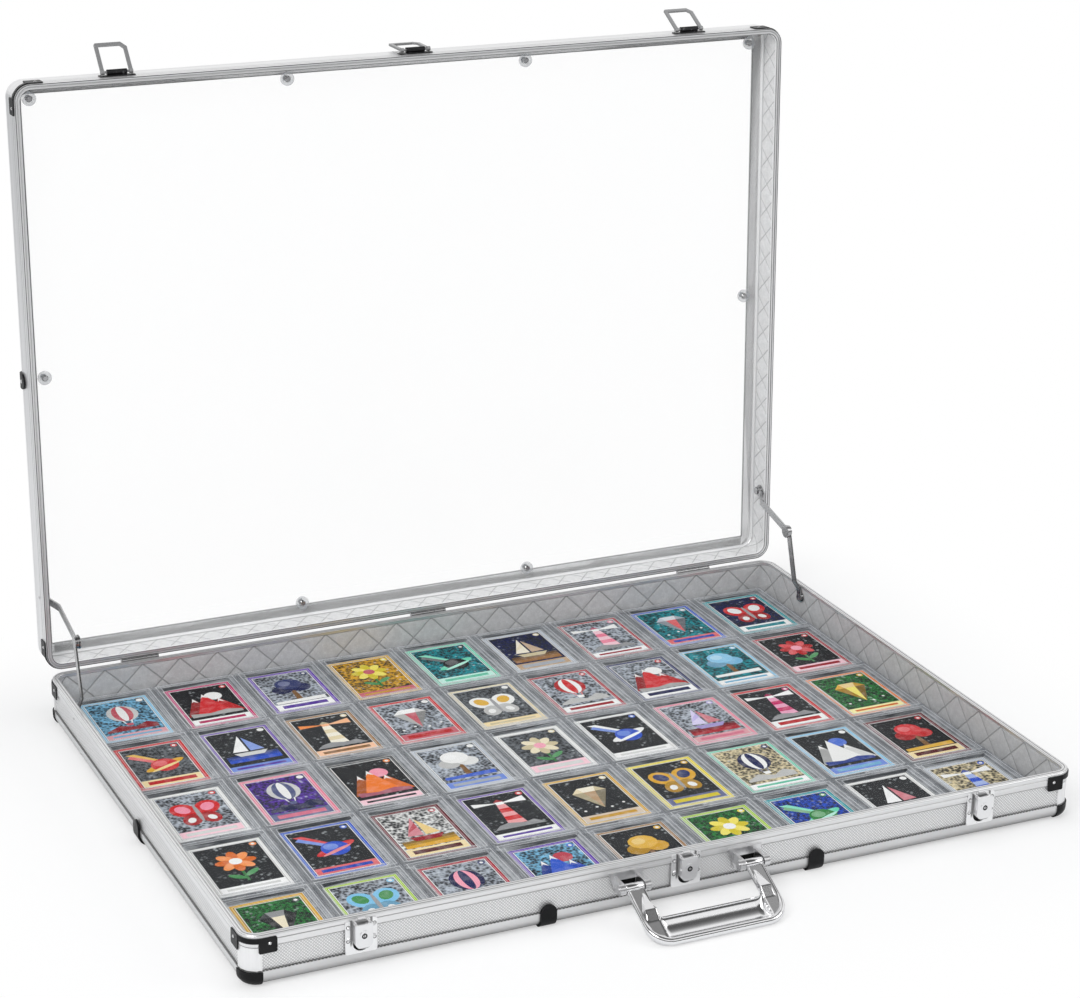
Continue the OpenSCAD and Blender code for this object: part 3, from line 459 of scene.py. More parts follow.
def bracket_plating(colour):
    """Plated handle brackets, black between the cheeks where the light doesn't reach."""
    paint = Paint("bracket_plating", metallic=1.0)
    x, y, z = paint.axes()
    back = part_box("handle_brackets")[1].y
    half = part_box("handle")[1].x - HANDLE_ARM / 2 * MM
    beside = (x.size() - half).size()
    strip = z.ramp(CHEEK_GAP_LOW, CHEEK_GAP_LOW + 1 * MM)
    strip -= z.ramp(CHEEK_GAP_HIGH - 0.6 * MM, CHEEK_GAP_HIGH)
    deep = y.ramp(back - 3 * MM, back - 1.5 * MM)
    gap = (1 - beside.ramp(CHEEK_GAP_HALF, CHEEK_GAP_HALF + 0.5 * MM)) * strip * deep
    smear = paint.noise(40.0, 4.0, 0.6)
    base = paint.blend(smear.ramp(0.35, 0.8) * 0.3, colour, shade(colour, 0.8))
    return paint.done(paint.blend(gap, base, (0.01, 0.01, 0.01)), 0.24 + smear * 0.1 + gap * 0.3)


def bright_metal(name, colour, rough, clouds=14.0, metallic=1.0):
    """Polished plated metal with faint smears and hairline scratches."""
    paint = Paint(name, metallic=metallic)
    smear = paint.noise(clouds, 4.0, 0.6)
    hair = paint.noise(1.0, 2.0, 0.5, paint.stretched(60, 1600, 700)).ramp(0.62, 0.78)
    shown = paint.blend(smear.ramp(0.35, 0.8) * 0.3, colour, shade(colour, 0.84))
    return paint.done(shown, rough + smear * 0.08 + hair * 0.1, hair, 0.01 * MM, 0.5)


def latch_plating(colour, plate=False):
    """Plated latches: dark key rings on the locks, shadowed sides and rivets on the plates."""
    paint = Paint("latch_plate_plating" if plate else "latch_plating", metallic=0.85)
    x, _, z = paint.axes()
    smear = paint.noise(40.0, 4.0, 0.6)
    dark = paint.number(0.0)
    for side in SIDES:
        low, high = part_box(f"latch_lever_{side}")
        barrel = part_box(f"lock_barrel_{side}")
        key = (barrel[0].z + barrel[1].z) / 2
        across = (x - (low.x + high.x) / 2).size()
        if plate:
            # Painted shade on the plate beside the lever
            recess = stripe(across, RECESS_AT, 1.3 * MM)
            dark = dark.most(recess * z.ramp(low.z - 1 * MM, low.z + 3 * MM) * 0.75)
            for up in (-RIVET_AT[1], RIVET_AT[1]):
                r = ((across - RIVET_AT[0]) ** 2.0 + (z - key - up) ** 2.0) ** 0.5
                dark = dark.most(stripe(r, 1.3 * MM, 0.5 * MM) * 0.8)
        else:
            r = (across ** 2.0 + (z - key) ** 2.0) ** 0.5
            slot = stripe(across, 0.0, 0.45 * MM) * (1 - r.ramp(1.0 * MM, 1.3 * MM))
            dark = dark.most(stripe(r, KEY_RING_R, 0.8 * MM)).most(slot)
            # Painted shade along the lever's lower edge
            dark = dark.most((1 - z.ramp(low.z, low.z + 1.2 * MM)) * 0.6)
    base = paint.blend(smear.ramp(0.35, 0.8) * 0.35, colour, shade(colour, 0.78))
    return paint.done(paint.blend(dark, base, (0.01, 0.01, 0.011)), 0.24 + smear * 0.1)


def dark_metal(colour):
    """Blackened steel of the bail brackets, worn brighter in places."""
    paint = Paint("dark_metal", metallic=0.8)
    wear = paint.noise(220.0, 4.0).ramp(0.55, 0.75)
    shown = paint.blend(wear * 0.5, colour, (0.34, 0.34, 0.35))
    return paint.done(shown, 0.34 + wear * 0.15, wear, 0.02 * MM)


def quilted_cloth(name, colour, line):
    """Matt non-woven lining with darker stitched lines; the puffing is in the mesh."""
    paint = Paint(name, roughness=0.92, Sheen_Weight=0.25, Sheen_Roughness=0.5)
    along = paint.attribute("along")
    up = paint.attribute("up")
    wobble = paint.noise(120.0, 2.0) * 0.03
    fold = ((along + up + wobble) * math.pi).sine().size()
    cross = ((along - up + wobble) * math.pi).sine().size()
    stitch = 1 - fold.least(cross).ramp(0.03, 0.13)
    fibre = paint.noise(1500.0, 6.0, 0.7)
    felt = paint.noise(230.0, 5.0, 0.65)
    speckle = paint.cells(900.0)
    base = paint.blend(felt.ramp(0.3, 0.72), shade(colour, 0.84), shade(colour, 1.08))
    base = paint.blend((fibre * speckle).ramp(0.1, 0.5) * 0.5 + 0.5, shade(colour, 0.75), base)
    paint.set("Base Color", paint.blend(stitch * (felt * 0.5 + 0.25), base, line))
    paint.bump(fibre * 0.5 + felt * 0.9 - stitch * 1.2, 0.3 * MM, 0.9)
    return paint.material


def foam_sheet(colour):
    """Dense closed-cell foam under the holders."""
    paint = Paint("foam_sheet", roughness=0.95)
    cells = paint.cells(1100.0)
    clouds = paint.noise(40.0, 4.0)
    shown = paint.blend(cells, shade(colour, 0.7), shade(colour, 1.06))
    return paint.done(shown, 0.88 + clouds * 0.1, cells, 0.2 * MM, 0.7)


def board(colour):
    """Hardboard floor with fibres pressed in all directions."""
    paint = Paint("floor_board")
    fibre = paint.noise(420.0, 6.0, 0.7)
    shown = paint.blend(fibre, shade(colour, 0.8), shade(colour, 1.1))
    return paint.done(shown, 0.6 + fibre * 0.2, fibre, 0.05 * MM)


def clear_sheet(name, tint, least, most, rough=0.02):
    """Clear acrylic: nearly all of the light goes through, less of it at a flat angle."""
    paint = Paint(name, roughness=rough, Specular_IOR_Level=0.5)
    facing = paint.node("ShaderNodeLayerWeight", None, {"Blend": 0.35}, output="Facing")
    haze = paint.noise(5.0, 3.0).ramp(0.45, 0.85)
    paint.set("Base Color", paint.blend(haze * 0.2, tint, (1.0, 1.0, 1.0)))
    paint.set("Roughness", rough + haze * 0.02)
    paint.set("Alpha", least + (facing ** 4.0) * (most - least) + haze * 0.012)
    return paint.material


def holder_plastic(name, tint, border, middle):
    """Clear styrene: thick and cloudy in the border, almost invisible over the card."""
    paint = Paint(name, roughness=0.05, Specular_IOR_Level=0.55)
    pitch_x, pitch_y = holder_pitch()
    x, y, _ = paint.axes()
    from_x = ((x / pitch_x + CARD_COLS / 2).fraction() - 0.5).size() * pitch_x
    from_y = ((y / pitch_y + CARD_ROWS / 2).fraction() - 0.5).size() * pitch_y
    out = (from_x - CARD_W / 2).most(from_y - CARD_L / 2)
    over_border = out.ramp(0.1 * MM, 0.7 * MM)
    ridge = 1 - (out - HOLDER_RIDGE).size().ramp(0.1 * MM, 0.7 * MM)
    lip = 1 - (out - HOLDER_LIP).size().ramp(0.0, 0.6 * MM)
    scratch = paint.noise(1.0, 3.0, 0.5, paint.stretched(90, 1300, 200)).ramp(0.6, 0.8)
    cloud = paint.noise(70.0, 4.0, 0.6)
    # Painted highlights: pale lines along the ridge and the lip of the border, which also carry
    # their relief
    marks = ridge.most(lip)
    body = paint.blend(cloud.ramp(0.35, 0.7), shade(tint, 0.75), shade(tint, 1.25))
    paint.set("Base Color", paint.blend(marks * 0.85, body, (0.93, 0.95, 0.97)))
    paint.set("Roughness", 0.05 + scratch * 0.1 + over_border * 0.06)
    paint.set("Alpha", middle + over_border * (border - middle) + marks * 0.25 + scratch * 0.01)
    paint.bump(marks, 0.15 * MM, 0.6)
    return paint.material


def printed_card():
    """Coated card: the inks come with the mesh, the picture field gets a blurred backdrop."""
    paint = Paint("printed_card", roughness=0.35, Specular_IOR_Level=0.05)
    ink = paint.attribute("ink", "Color")
    depth = paint.attribute("depth")
    crowd = paint.cells(330.0)
    blur = paint.noise(75.0, 3.0, 0.6)
    glints = (1 - paint.cells(190.0)).ramp(0.62, 0.9) * blur.ramp(0.4, 0.7)
    dark = paint.blend((crowd * 0.6 + blur * 0.7).ramp(0.4, 0.95), (0.01, 0.011, 0.013), ink)
    lively = paint.blend(glints * 0.55, dark, (0.75, 0.8, 0.82))
    foil = paint.noise(120.0, 2.0)
    flat = paint.blend(foil.ramp(0.4, 0.8) * 0.12, ink, (1.0, 1.0, 1.0))
    return paint.done(paint.blend(depth, flat, lively), 0.28 + foil * 0.15)


def card_edge():
    """White card stock seen on the cards' sides and backs."""
    paint = Paint("card_stock", roughness=0.7)
    fibre = paint.noise(900.0, 3.0)
    paint.set("Base Color", paint.blend(fibre, (0.72, 0.72, 0.7), (0.82, 0.82, 0.8)))
    return paint.material


# Mesh building

CORNER_PARTS = 6
# Height of the quilt's rows of faces, and the distance of its back from the wall
QUILT_ROW = 1.8 * MM
QUILT_BACK = 0.02 * MM
FOAM_STEP = 30 * MM


def new_piece(name, mesh, body, *materials):
    """Links a mesh as a piece that rides on a body."""
    piece = bpy.data.objects.new(name, mesh)
    bpy.context.scene.collection.objects.link(piece)
    for material in materials:
        mesh.materials.append(material)
    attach(piece, body)
    return piece


def finished(build, name):
    """The mesh of what was built."""
    mesh = bpy.data.meshes.new(name)
    build.to_mesh(mesh)
    build.free()
    return mesh


def bridge(build, rings):
    """Faces between each ring of vertices and the next."""
    for ring, ahead in zip(rings, rings[1:]):
        for i in range(len(ring)):
            j = (i + 1) % len(ring)
            build.faces.new((ring[i], ring[j], ahead[j], ahead[i]))


def smooth_outward(build):
    """Turns all faces outward and shades them as curved."""
    bmesh.ops.recalc_face_normals(build, faces=build.faces)
    for face in build.faces:
        face.smooth = True


def finish_nodes(names, material, bevel=0.0):
    """Gives CAD nodes a finish and breaks their sharp edges."""
    for name in names:
        node = NODES[name]
        node.data.materials.clear()
        node.data.materials.append(material)
        for polygon in node.data.polygons:
            polygon.material_index = 0
            polygon.use_smooth = False
        if bevel:
            edge = node.modifiers.new("edge_break", "BEVEL")
            edge.width = bevel
            edge.segments = 2
            edge.limit_method = "ANGLE"
            edge.angle_limit = math.radians(35)


def perimeter(half_x, half_y, radius, step):
    """Points, outward normals and running lengths round a rounded rectangle, against the clock."""
    samples = []
    for sx, sy, start in ((1, -1, -90), (1, 1, 0), (-1, 1, 90), (-1, -1, 180)):
        centre = Vector((sx * (half_x - radius), sy * (half_y - radius)))
        for i in range(CORNER_PARTS + 1):
            angle = math.radians(start + 90 * i / CORNER_PARTS)
            normal = Vector((math.cos(angle), math.sin(angle)))
            samples.append((centre + normal * radius, normal))
    closed = []
    for (point, normal), (ahead, ahead_normal) in zip(samples, samples[1:] + samples[:1]):
        gap = (ahead - point).length
        parts = max(1, round(gap / step))
        for i in range(parts):
            t = i / parts
            closed.append((point.lerp(ahead, t), normal.lerp(ahead_normal, t).normalized()))
    run = 0.0
    out = []
    for index, (point, normal) in enumerate(closed):
        out.append((point, normal, run))
        run += (closed[(index + 1) % len(closed)][0] - point).length
    return out, run


def quilted_band(name, low, high, gap, pitch, lean):
    """Mesh of a lining round the inside of the walls: puffed diamonds between stitched lines.

    low and high are the corners of the CAD ring, whose inner face is gap inside its outer one.
    pitch is the distance between the diamonds, and lean how far a line runs on for its rise.
    """
    radius = CORNER_R - (case_width() - (high.x - low.x)) / 2
    loop, length = perimeter((high.x - low.x) / 2, (high.y - low.y) / 2, radius, pitch / 16)
    height = high.z - low.z
    rows = max(8, round(height / QUILT_ROW))
    diamond = length / round(length / pitch)
    build = bmesh.new()
    along_layer = build.loops.layers.float.new("along")
    up_layer = build.loops.layers.float.new("up")
    rings = []
    for row in range(rows + 1):
        z = low.z + height * row / rows
        rise = (z - low.z) * lean
        edge = min(1.0, row / 1.5, (rows - row) / 1.5)
        ring = []
        for point, normal, run in loop:
            fold = abs(math.sin(math.pi * (run + rise) / diamond))
            cross = abs(math.sin(math.pi * (run - rise) / diamond))
            puff = min(fold, cross, 0.5) / 0.5
            sway = noise.noise(Vector((run * 60, z * 60, 0.0))) * 0.16
            swell = clamp((puff ** 0.6 * 0.86 + sway) * edge)
            place = point - normal * (gap * (0.35 + 0.6 * swell))
            ring.append(build.verts.new((place.x, place.y, z)))
        rings.append(ring)
    for z in (high.z, low.z):
        backs = [point - normal * QUILT_BACK for point, normal, _ in loop]
        rings.append([build.verts.new((place.x, place.y, z)) for place in backs])
    count = len(loop)
    for ring, above in zip(rings, rings[1:] + rings[:1]):
        for i in range(count):
            j = (i + 1) % count
            face = build.faces.new((ring[j], ring[i], above[i], above[j]))
            start = loop[i][2]
            end = loop[j][2] if j else length
            for corner, run in zip(face.loops, (end, start, start, end)):
                corner[along_layer] = run / diamond
                corner[up_layer] = (corner.vert.co.z - low.z) * lean / diamond
    smooth_outward(build)
    return finished(build, name)


def clamp(value, low=0.0, high=1.0):
    """A number kept between two others."""
    return max(low, min(high, value))


def arm_wedge(x, s):
    """Rise of the wedge on an arm, which widens from the pin towards the grip."""
    reach = clamp((s - 8) / 18)
    middle = ARM_INSIDE + 4.3 + 1.3 * reach
    half = 0.6 + 5.0 * reach
    side = clamp((half - abs(x - middle)) / 0.9 + 0.5)
    return WEDGE_RISE * side * min(reach, clamp((36 - s) / 10))


def grip_trough(x, s, bead_r):
    """Depth of the trough in the grip, which is rounded at its ends beside the arms."""
    near = GRIP_FROM + 0.4
    far = HANDLE_L - 1.7 * bead_r
    across = clamp((s - (near + far) / 2) / ((far - near) / 2), -1.0, 1.0)
    end = clamp((ARM_INSIDE - x) / 5.0)
    return TROUGH_DEPTH * (1 - across ** 2) ** 0.6 * math.sqrt(1 - (1 - end) ** 2)


def handle_heights(x, s):
    """Upper and lower surface of the handle at x from its middle and s out from its pins."""
    x = abs(x)
    # Distances in from the outer and from the inner edge
    depth = min(HANDLE_OUT - x, HANDLE_L - s)
    round_x = x - (HANDLE_OUT - HANDLE_R)
    round_s = s - (HANDLE_L - HANDLE_R)
    if round_x > 0 and round_s > 0:
        depth = HANDLE_R - math.hypot(round_x, round_s)
    depth = max(depth, 0.0)
    if s < GRIP_FROM:
        edge = x - ARM_INSIDE
    elif x < ARM_INSIDE:
        edge = s - GRIP_FROM
    else:
        edge = math.hypot(x - ARM_INSIDE, s - GRIP_FROM) + 1.0
    # The bead along the outer edge, thicker on the grip
    along = clamp((s - 34) / 18)
    bead_r = 1.3 + 1.9 * along
    swell = math.sqrt(clamp(1 - ((depth - bead_r) / bead_r) ** 2))
    bead = (2.1 + 1.6 * along) * swell
    # The face inside the bead
    on_arm = s < GRIP_FROM or x >= ARM_INSIDE
    face = HANDLE_FACE + (arm_wedge(x, s) if on_arm else -grip_trough(x, s, bead_r))
    if x >= ARM_INSIDE and s < HANDLE_L - 8:
        face += 0.5 * clamp(1 - abs(x - ARM_INSIDE - 0.7) / 0.8)
    soft = EDGE_R - math.sqrt(EDGE_R ** 2 - (EDGE_R - clamp(edge, 0.0, EDGE_R)) ** 2)
    top = face - soft
    if depth <= 2 * bead_r:
        top = max(bead, top) if depth > bead_r else bead
    # The underside, round under the grip
    low = soft - 1.5
    if s > GRIP_FROM:
        across = clamp(s - GRIP_FROM - HANDLE_GRIP / 2, -13.7, 13.7)
        low = min(low, 11 - math.sqrt(SHELL_R ** 2 - across ** 2))
    limit = 6.7 * math.sqrt(clamp(1 - (1 - clamp(depth / 6)) ** 2))
    return top, max(low, -limit)


def handle_stations():
    """Pairs of points, on the outer and the inner edge, from one pin round to the other."""
    bend_from = GRIP_FROM - INNER_R
    straight = HANDLE_L - HANDLE_R
    pairs = []
    for i in range(45):
        s = INNER_R + (bend_from - INNER_R) * i / 44
        pairs.append(((HANDLE_OUT, s), (ARM_INSIDE, s)))
    path = straight - bend_from + HANDLE_R * math.pi / 2
    for i in range(1, 36):
        angle = (path * i / 36 - (straight - bend_from)) / HANDLE_R
        outer = (HANDLE_OUT, straight + HANDLE_R * angle)
        if angle >= 0:
            outer = (
                HANDLE_OUT - HANDLE_R + HANDLE_R * math.cos(angle),
                straight + HANDLE_R * math.sin(angle),
            )
        turn = math.pi / 2 * i / 36
        inside = (
            ARM_INSIDE - INNER_R + INNER_R * math.cos(turn), bend_from + INNER_R * math.sin(turn),
        )
        pairs.append((outer, inside))
    for i in range(31):
        part = 1 - i / 30
        pairs.append(
            (((HANDLE_OUT - HANDLE_R) * part, HANDLE_L), ((ARM_INSIDE - INNER_R) * part, GRIP_FROM))
        )
    return pairs + [((-a[0], a[1]), (-b[0], b[1])) for a, b in reversed(pairs[:-1])]


def cast_handle(name):
    """Mesh of the handle as one casting: arms with a wedge, a hollow grip, a bead outside them."""
    across = [0.5 - 0.5 * math.cos(math.pi * k / 40) for k in range(41)]
    build = bmesh.new()
    rings = []
    for outer, inside in handle_stations():
        upper = []
        lower = []
        for v in across:
            x = outer[0] + (inside[0] - outer[0]) * v
            s = outer[1] + (inside[1] - outer[1]) * v
            top, bottom = handle_heights(x, s)
            upper.append((x, -s, top))
            lower.append((x, -s, min(bottom, top - 0.01)))
        rings.append([build.verts.new(point) for point in upper + lower[::-1]])
    bridge(build, rings)
    build.faces.new(rings[0])
    build.faces.new(rings[-1])
    turns = [2 * math.pi * k / 32 for k in range(32)]
    circle = [(math.cos(turn), math.sin(turn)) for turn in turns]
    eye = (
        (ARM_INSIDE, PIN_BORE_R), (ARM_INSIDE, EYE_R - 0.3), (ARM_INSIDE + 0.3, EYE_R),
        (HANDLE_OUT - 0.3, EYE_R), (HANDLE_OUT, EYE_R - 0.3), (HANDLE_OUT, PIN_BORE_R),
    )
    for side in (-1, 1):
        rims = [[build.verts.new((side * x, r * c, r * d)) for c, d in circle] for x, r in eye]
        bridge(build, rims + rims[:1])
    smooth_outward(build)
    for edge in build.edges:
        edge.smooth = edge.calc_face_angle(0.0) < math.radians(50)
    mesh = finished(build, name)
    droop = Matrix.Rotation(math.radians(HANDLE_DROOP), 4, "X")
    pins = Matrix.Translation(JOINTS["handle_fold"]["pos_m"])
    mesh.transform(pins @ droop @ Matrix.Scale(MM, 4))
    return mesh


def rounded_slab(name, low, high, radius, edge, dimple):
    """Mesh of a flat foam sheet with soft edges and a faint unevenness on top."""
    build = bmesh.new()
    rings = []
    for inset, down in ((0, high.z - low.z), (0, edge), (edge * 0.3, edge * 0.3), (edge, 0)):
        half_x = (high.x - low.x) / 2 - inset
        half_y = (high.y - low.y) / 2 - inset
        loop, _ = perimeter(half_x, half_y, radius - inset, FOAM_STEP)
        rings.append([build.verts.new((point.x, point.y, high.z - down)) for point, _, _ in loop])
    bridge(build, rings)
    build.faces.new(rings[0][::-1])
    crown = build.faces.new(rings[-1])
    for vertex in rings[-1]:
        vertex.co.z -= dimple * (0.5 + 0.5 * noise.noise(vertex.co * 9))
    bmesh.ops.triangulate(build, faces=[crown])
    return finished(build, name)


# Printed cards: each drawing is a list of (ink, shade, outline in millimetres)


INKS = {
    "white": (0.93, 0.93, 0.92), "cream": (0.9, 0.84, 0.68), "silver": (0.72, 0.75, 0.79),
    "black": (0.05, 0.05, 0.06), "charcoal": (0.13, 0.14, 0.15), "grey": (0.42, 0.44, 0.46),
    "red": (0.8, 0.08, 0.1), "crimson": (0.66, 0.06, 0.13), "maroon": (0.36, 0.05, 0.08),
    "pink": (0.93, 0.5, 0.6), "magenta": (0.78, 0.1, 0.38), "orange": (0.93, 0.45, 0.1),
    "gold": (0.86, 0.65, 0.16), "bronze": (0.6, 0.42, 0.22), "yellow": (0.93, 0.85, 0.2),
    "lime": (0.66, 0.82, 0.2), "green": (0.16, 0.5, 0.22), "mint": (0.42, 0.84, 0.7),
    "teal": (0.1, 0.58, 0.62), "sky": (0.5, 0.76, 0.9), "blue": (0.12, 0.3, 0.76),
    "navy": (0.06, 0.1, 0.32), "purple": (0.36, 0.2, 0.66), "lilac": (0.7, 0.64, 0.88),
}


def oval(x, y, rx, ry, sides=18, turn=0.0):
    """Outline of an ellipse, turned by degrees."""
    c = math.cos(math.radians(turn))
    s = math.sin(math.radians(turn))
    points = []
    for i in range(sides):
        angle = math.radians(360 * i / sides)
        px = rx * math.cos(angle)
        py = ry * math.sin(angle)
        points.append((x + px * c - py * s, y + px * s + py * c))
    return points


def draw_balloon(a, b):
    """Striped balloon over low hills."""
    return [
        (b, 0.8, [(-24, -24), (-10, -15), (4, -21), (16, -13), (24, -19), (24, -27), (-24, -27)]),
        (a, 0.85, oval(0, 10, 14.5, 17)),
        (b, 1.25, oval(0, 10, 9.5, 17)),
        (a, 1.0, oval(0, 10, 4, 17)),
        (b, 1.3, [(-3.5, -12), (3.5, -12), (2.8, -17), (-2.8, -17)]),
        (a, 1.4, [(-5, -5.5), (-3.2, -12), (-2.4, -12), (-3.6, -5.5)]),
        (a, 1.4, [(5, -5.5), (3.6, -5.5), (2.4, -12), (3.2, -12)]),
    ]


def draw_boat(a, b):
    """Boat with two sails on a striped sea."""
    return [
        (b, 0.6 + 0.2 * i, [(-24, -14 - 4 * i), (24, -12 - 4 * i), (24, -27), (-24, -27)])
        for i in range(3)
    ] + [
        (a, 0.9, [(-15, -9), (16, -9), (11, -16), (-11, -16)]),
        (a, 1.5, [(-1, -7), (-1, 26), (-15, -6)]),
        (b, 1.45, [(1, -7), (1, 22), (14, -6)]),
        (a, 1.2, [(-1, 8), (-1, 16), (-10, 5), (-12, 0)]),
    ]


def draw_tree(a, b):
    """Round tree of three crowns with a trunk."""
    parts = [("bronze", 0.8, [(-3, -24), (3, -24), (1.8, 4), (-1.8, 4)])]
    for x, y, r, tone in ((-9, 3, 10, 0.8), (9, 4, 10, 0.95), (0, 14, 13, 1.12), (-3, 16, 6, 1.4)):
        parts.append((a, tone, oval(x, y, r, r * 0.9, 12)))
    return parts + [(b, 1.1, [(-24, -22), (24, -20), (24, -27), (-24, -27)])]


def draw_flower(a, b):
    """Flower of eight petals on a leafed stem."""
    parts = [
        ("green", 0.9, [(-1.2, -26), (1.2, -26), (1.4, 5), (-1.4, 5)]),
        ("green", 1.2, oval(7, -13, 8, 3, 10, 35)),
        ("green", 1.1, oval(-7, -17, 8, 3, 10, 145)),
    ]
    for i in range(8):
        angle = math.radians(45 * i)
        centre = (10 * math.cos(angle), 9 + 10 * math.sin(angle))
        parts.append((a, 0.9 + 0.35 * (i % 2), oval(*centre, 8, 4.6, 10, 45 * i)))
    return parts + [(b, 1.3, oval(0, 9, 5.6, 5.6, 12))]


def draw_butterfly(a, b):
    """Butterfly with spotted wings."""
    parts = []
    for side in (-1, 1):
        parts += [
            (a, 1.0, oval(side * 10.5, 9, 11, 13, 14, -side * 28)),
            (b, 1.1, oval(side * 11, 10, 6, 8, 12, -side * 28)),
            (a, 0.8, oval(side * 8, -10, 8.5, 11, 14, side * 22)),
            ("white", 1.0, oval(side * 9, -11, 3.6, 5, 10, side * 22)),
        ]
    return parts + [("black", 1.6, oval(0, 0, 2, 17, 12))]


def draw_gem(a, b):
    """Cut stone with facets in five tones."""
    top = [(-16, 12), (-8, 21), (8, 21), (16, 12)]
    mid = [(-16, 12), (-5.5, 12), (5.5, 12), (16, 12)]
    tip = (0, -20)
    return [
        (a, 1.1, [top[0], top[1], mid[1]]), (a, 1.5, [top[1], top[2], mid[2], mid[1]]),
        (a, 0.9, [top[2], top[3], mid[2]]), (a, 0.75, [mid[0], mid[1], tip]),
        (b, 1.3, [mid[1], mid[2], tip]), (a, 0.55, [mid[2], mid[3], tip]),
    ] + [("white", 1.0, oval(-19 + 12.6 * i, -21 + 4 * (i % 2), 1.5, 1.5, 6)) for i in range(4)]


def draw_comet(a, b):
    """Ringed planet with a comet's tail."""
    return [
        (b, 1.2, [(-24, 27), (-16, 27), (6, 4), (1, -1)]),
        (a, 1.4, [(-24, 20), (-20, 24), (3, 3), (0, 0)]),
        (b, 1.0, oval(3, -3, 21, 5.5, 20, 24)),
        (a, 1.0, oval(3, -3, 12.5, 12.5)),
        (a, 1.35, oval(0, 1, 6.5, 5.5, 12)),
        (b, 1.5, oval(3, -7, 16, 2.2, 14, 24)),
    ]


def draw_tower(a, b):
    """Banded lighthouse on a rock with its beam."""
    parts = [
        (b, 1.5, [(0, 20), (24, 27), (24, 17)]), (b, 1.2, [(0, 20), (-24, 26), (-24, 19)]),
    ]
    for i in range(5):
        low = -20 + 7.4 * i
        wide = 8.4 - i * 0.9
        top = wide - 0.9
        band = [(-wide, low), (wide, low), (top, low + 7.4), (-top, low + 7.4)]
        parts.append((a, 1.0 if i % 2 else 1.6, band))
    rock = [(-24, -27), (24, -27), (15, -18), (6, -21), (-8, -17), (-17, -20)]
    return parts + [
        (b, 1.5, [(-3.6, 17), (3.6, 17), (3.6, 22), (-3.6, 22)]),
        (a, 0.8, [(-5, 22), (5, 22), (0, 27)]),
        ("charcoal", 1.5, rock),
    ]


def draw_peaks(a, b):
    """Snowy mountains under a low sun."""
    parts = [(b, 1.2, oval(8, 14, 8.5, 8.5, 16))]
    for x, h, w, tone in ((-12, 14, 15, 0.7), (11, 8, 16, 0.9), (-1, 21, 17, 1.05)):
        snow = [(x, h), (x - w * 0.2, h - 9), (x - 1, h - 6), (x + w * 0.2, h - 10)]
        parts += [(a, tone, [(x - w, -24), (x + w, -24), (x, h)]), ("white", 1.0, snow)]
    ground = [(-24, -19), (-6, -22), (10, -18), (24, -22), (24, -27), (-24, -27)]
    return parts + [(b, 0.7, ground)]


DRAWINGS = [
    draw_balloon, draw_gem, draw_boat, draw_flower, draw_peaks, draw_butterfly, draw_tower,
    draw_comet, draw_tree,
]

# Frame, picture field, main ink and second ink of each card: back row first, left to right
PALETTES = [[card.split() for card in row.split(", ")] for row in (
    "sky sky white crimson, magenta black red white, purple silver navy white, "
    "gold gold yellow crimson, mint teal black mint, silver navy cream bronze, "
    "crimson silver pink white, blue teal silver red, teal navy red white",
    "red grey red gold, purple charcoal white blue, bronze charcoal cream orange, "
    "red silver white crimson, cream grey white gold, crimson silver red white, "
    "navy silver red white, sky teal sky white, crimson black red pink",
    "white silver red pink, pink purple white navy, charcoal black orange pink, "
    "silver silver white blue, white grey cream pink, white charcoal blue white, "
    "pink silver lilac crimson, red charcoal magenta white, orange green gold yellow",
    "white charcoal orange white, blue charcoal blue red, maroon white crimson gold, "
    "purple charcoal red white, gold charcoal cream bronze, yellow charcoal gold navy, "
    "mint cream navy white, sky charcoal white blue, maroon black red gold",
    "gold green charcoal cream, lime silver sky green, crimson silver navy pink, "
    "purple sky blue crimson, bronze charcoal gold white, lime green yellow white, "
    "teal blue green mint, white charcoal white crimson, silver cream blue white",
)]
CARD_T = 0.5 * MM
# Height of an ink over the one below, and of the card's top under the CAD card's
INK_T = 0.012 * MM
CARD_DROP = 0.28 * MM


def rectangle(half_w, low, high):
    """Outline of an upright rectangle centred on the card."""
    return [(-half_w, low), (half_w, low), (half_w, high), (-half_w, high)]


def card_layers(palette, drawing, variant):
    """The printed shapes of a card, from the bottom up: ink, shade, outline, 1 for the field."""
    rim, field, main, second = palette
    half_w = CARD_W / MM / 2
    half_l = CARD_L / MM / 2
    margin = 3.4 + 0.5 * (variant % 3)
    line = margin + 0.8
    lift = 4 if variant % 2 else 2
    band_top = -half_l + line + 10 + 1.5 * (variant % 3)
    spot = (half_w - line - 4.4, half_l - line - 5)

    def inset(by):
        return rectangle(half_w - by, by - half_l, half_l - by)

    layers = [
        (rim, 1.0, inset(0.6)), (rim, 1.45, inset(margin * 0.55)), (rim, 0.8, inset(margin * 0.8)),
        ("white", 1.0, inset(margin)), (field, 1.0, inset(line), 1),
    ]
    for ink, tone, outline in drawing(main, second):
        layers.append((ink, tone, [(x, y + lift) for x, y in outline]))
    return layers + [
        (second, 1.35 if variant % 2 else 1.6, rectangle(half_w - line, line - half_l, band_top)),
        (rim, 0.9, rectangle(half_w - line - 5, -half_l + line + 3.4, band_top - 3.2)),
        (main, 1.2, oval(*spot, 3.2, 3.2, 12)),
        ("white", 1.0, oval(*spot, 1.7, 1.7, 8)),
    ]


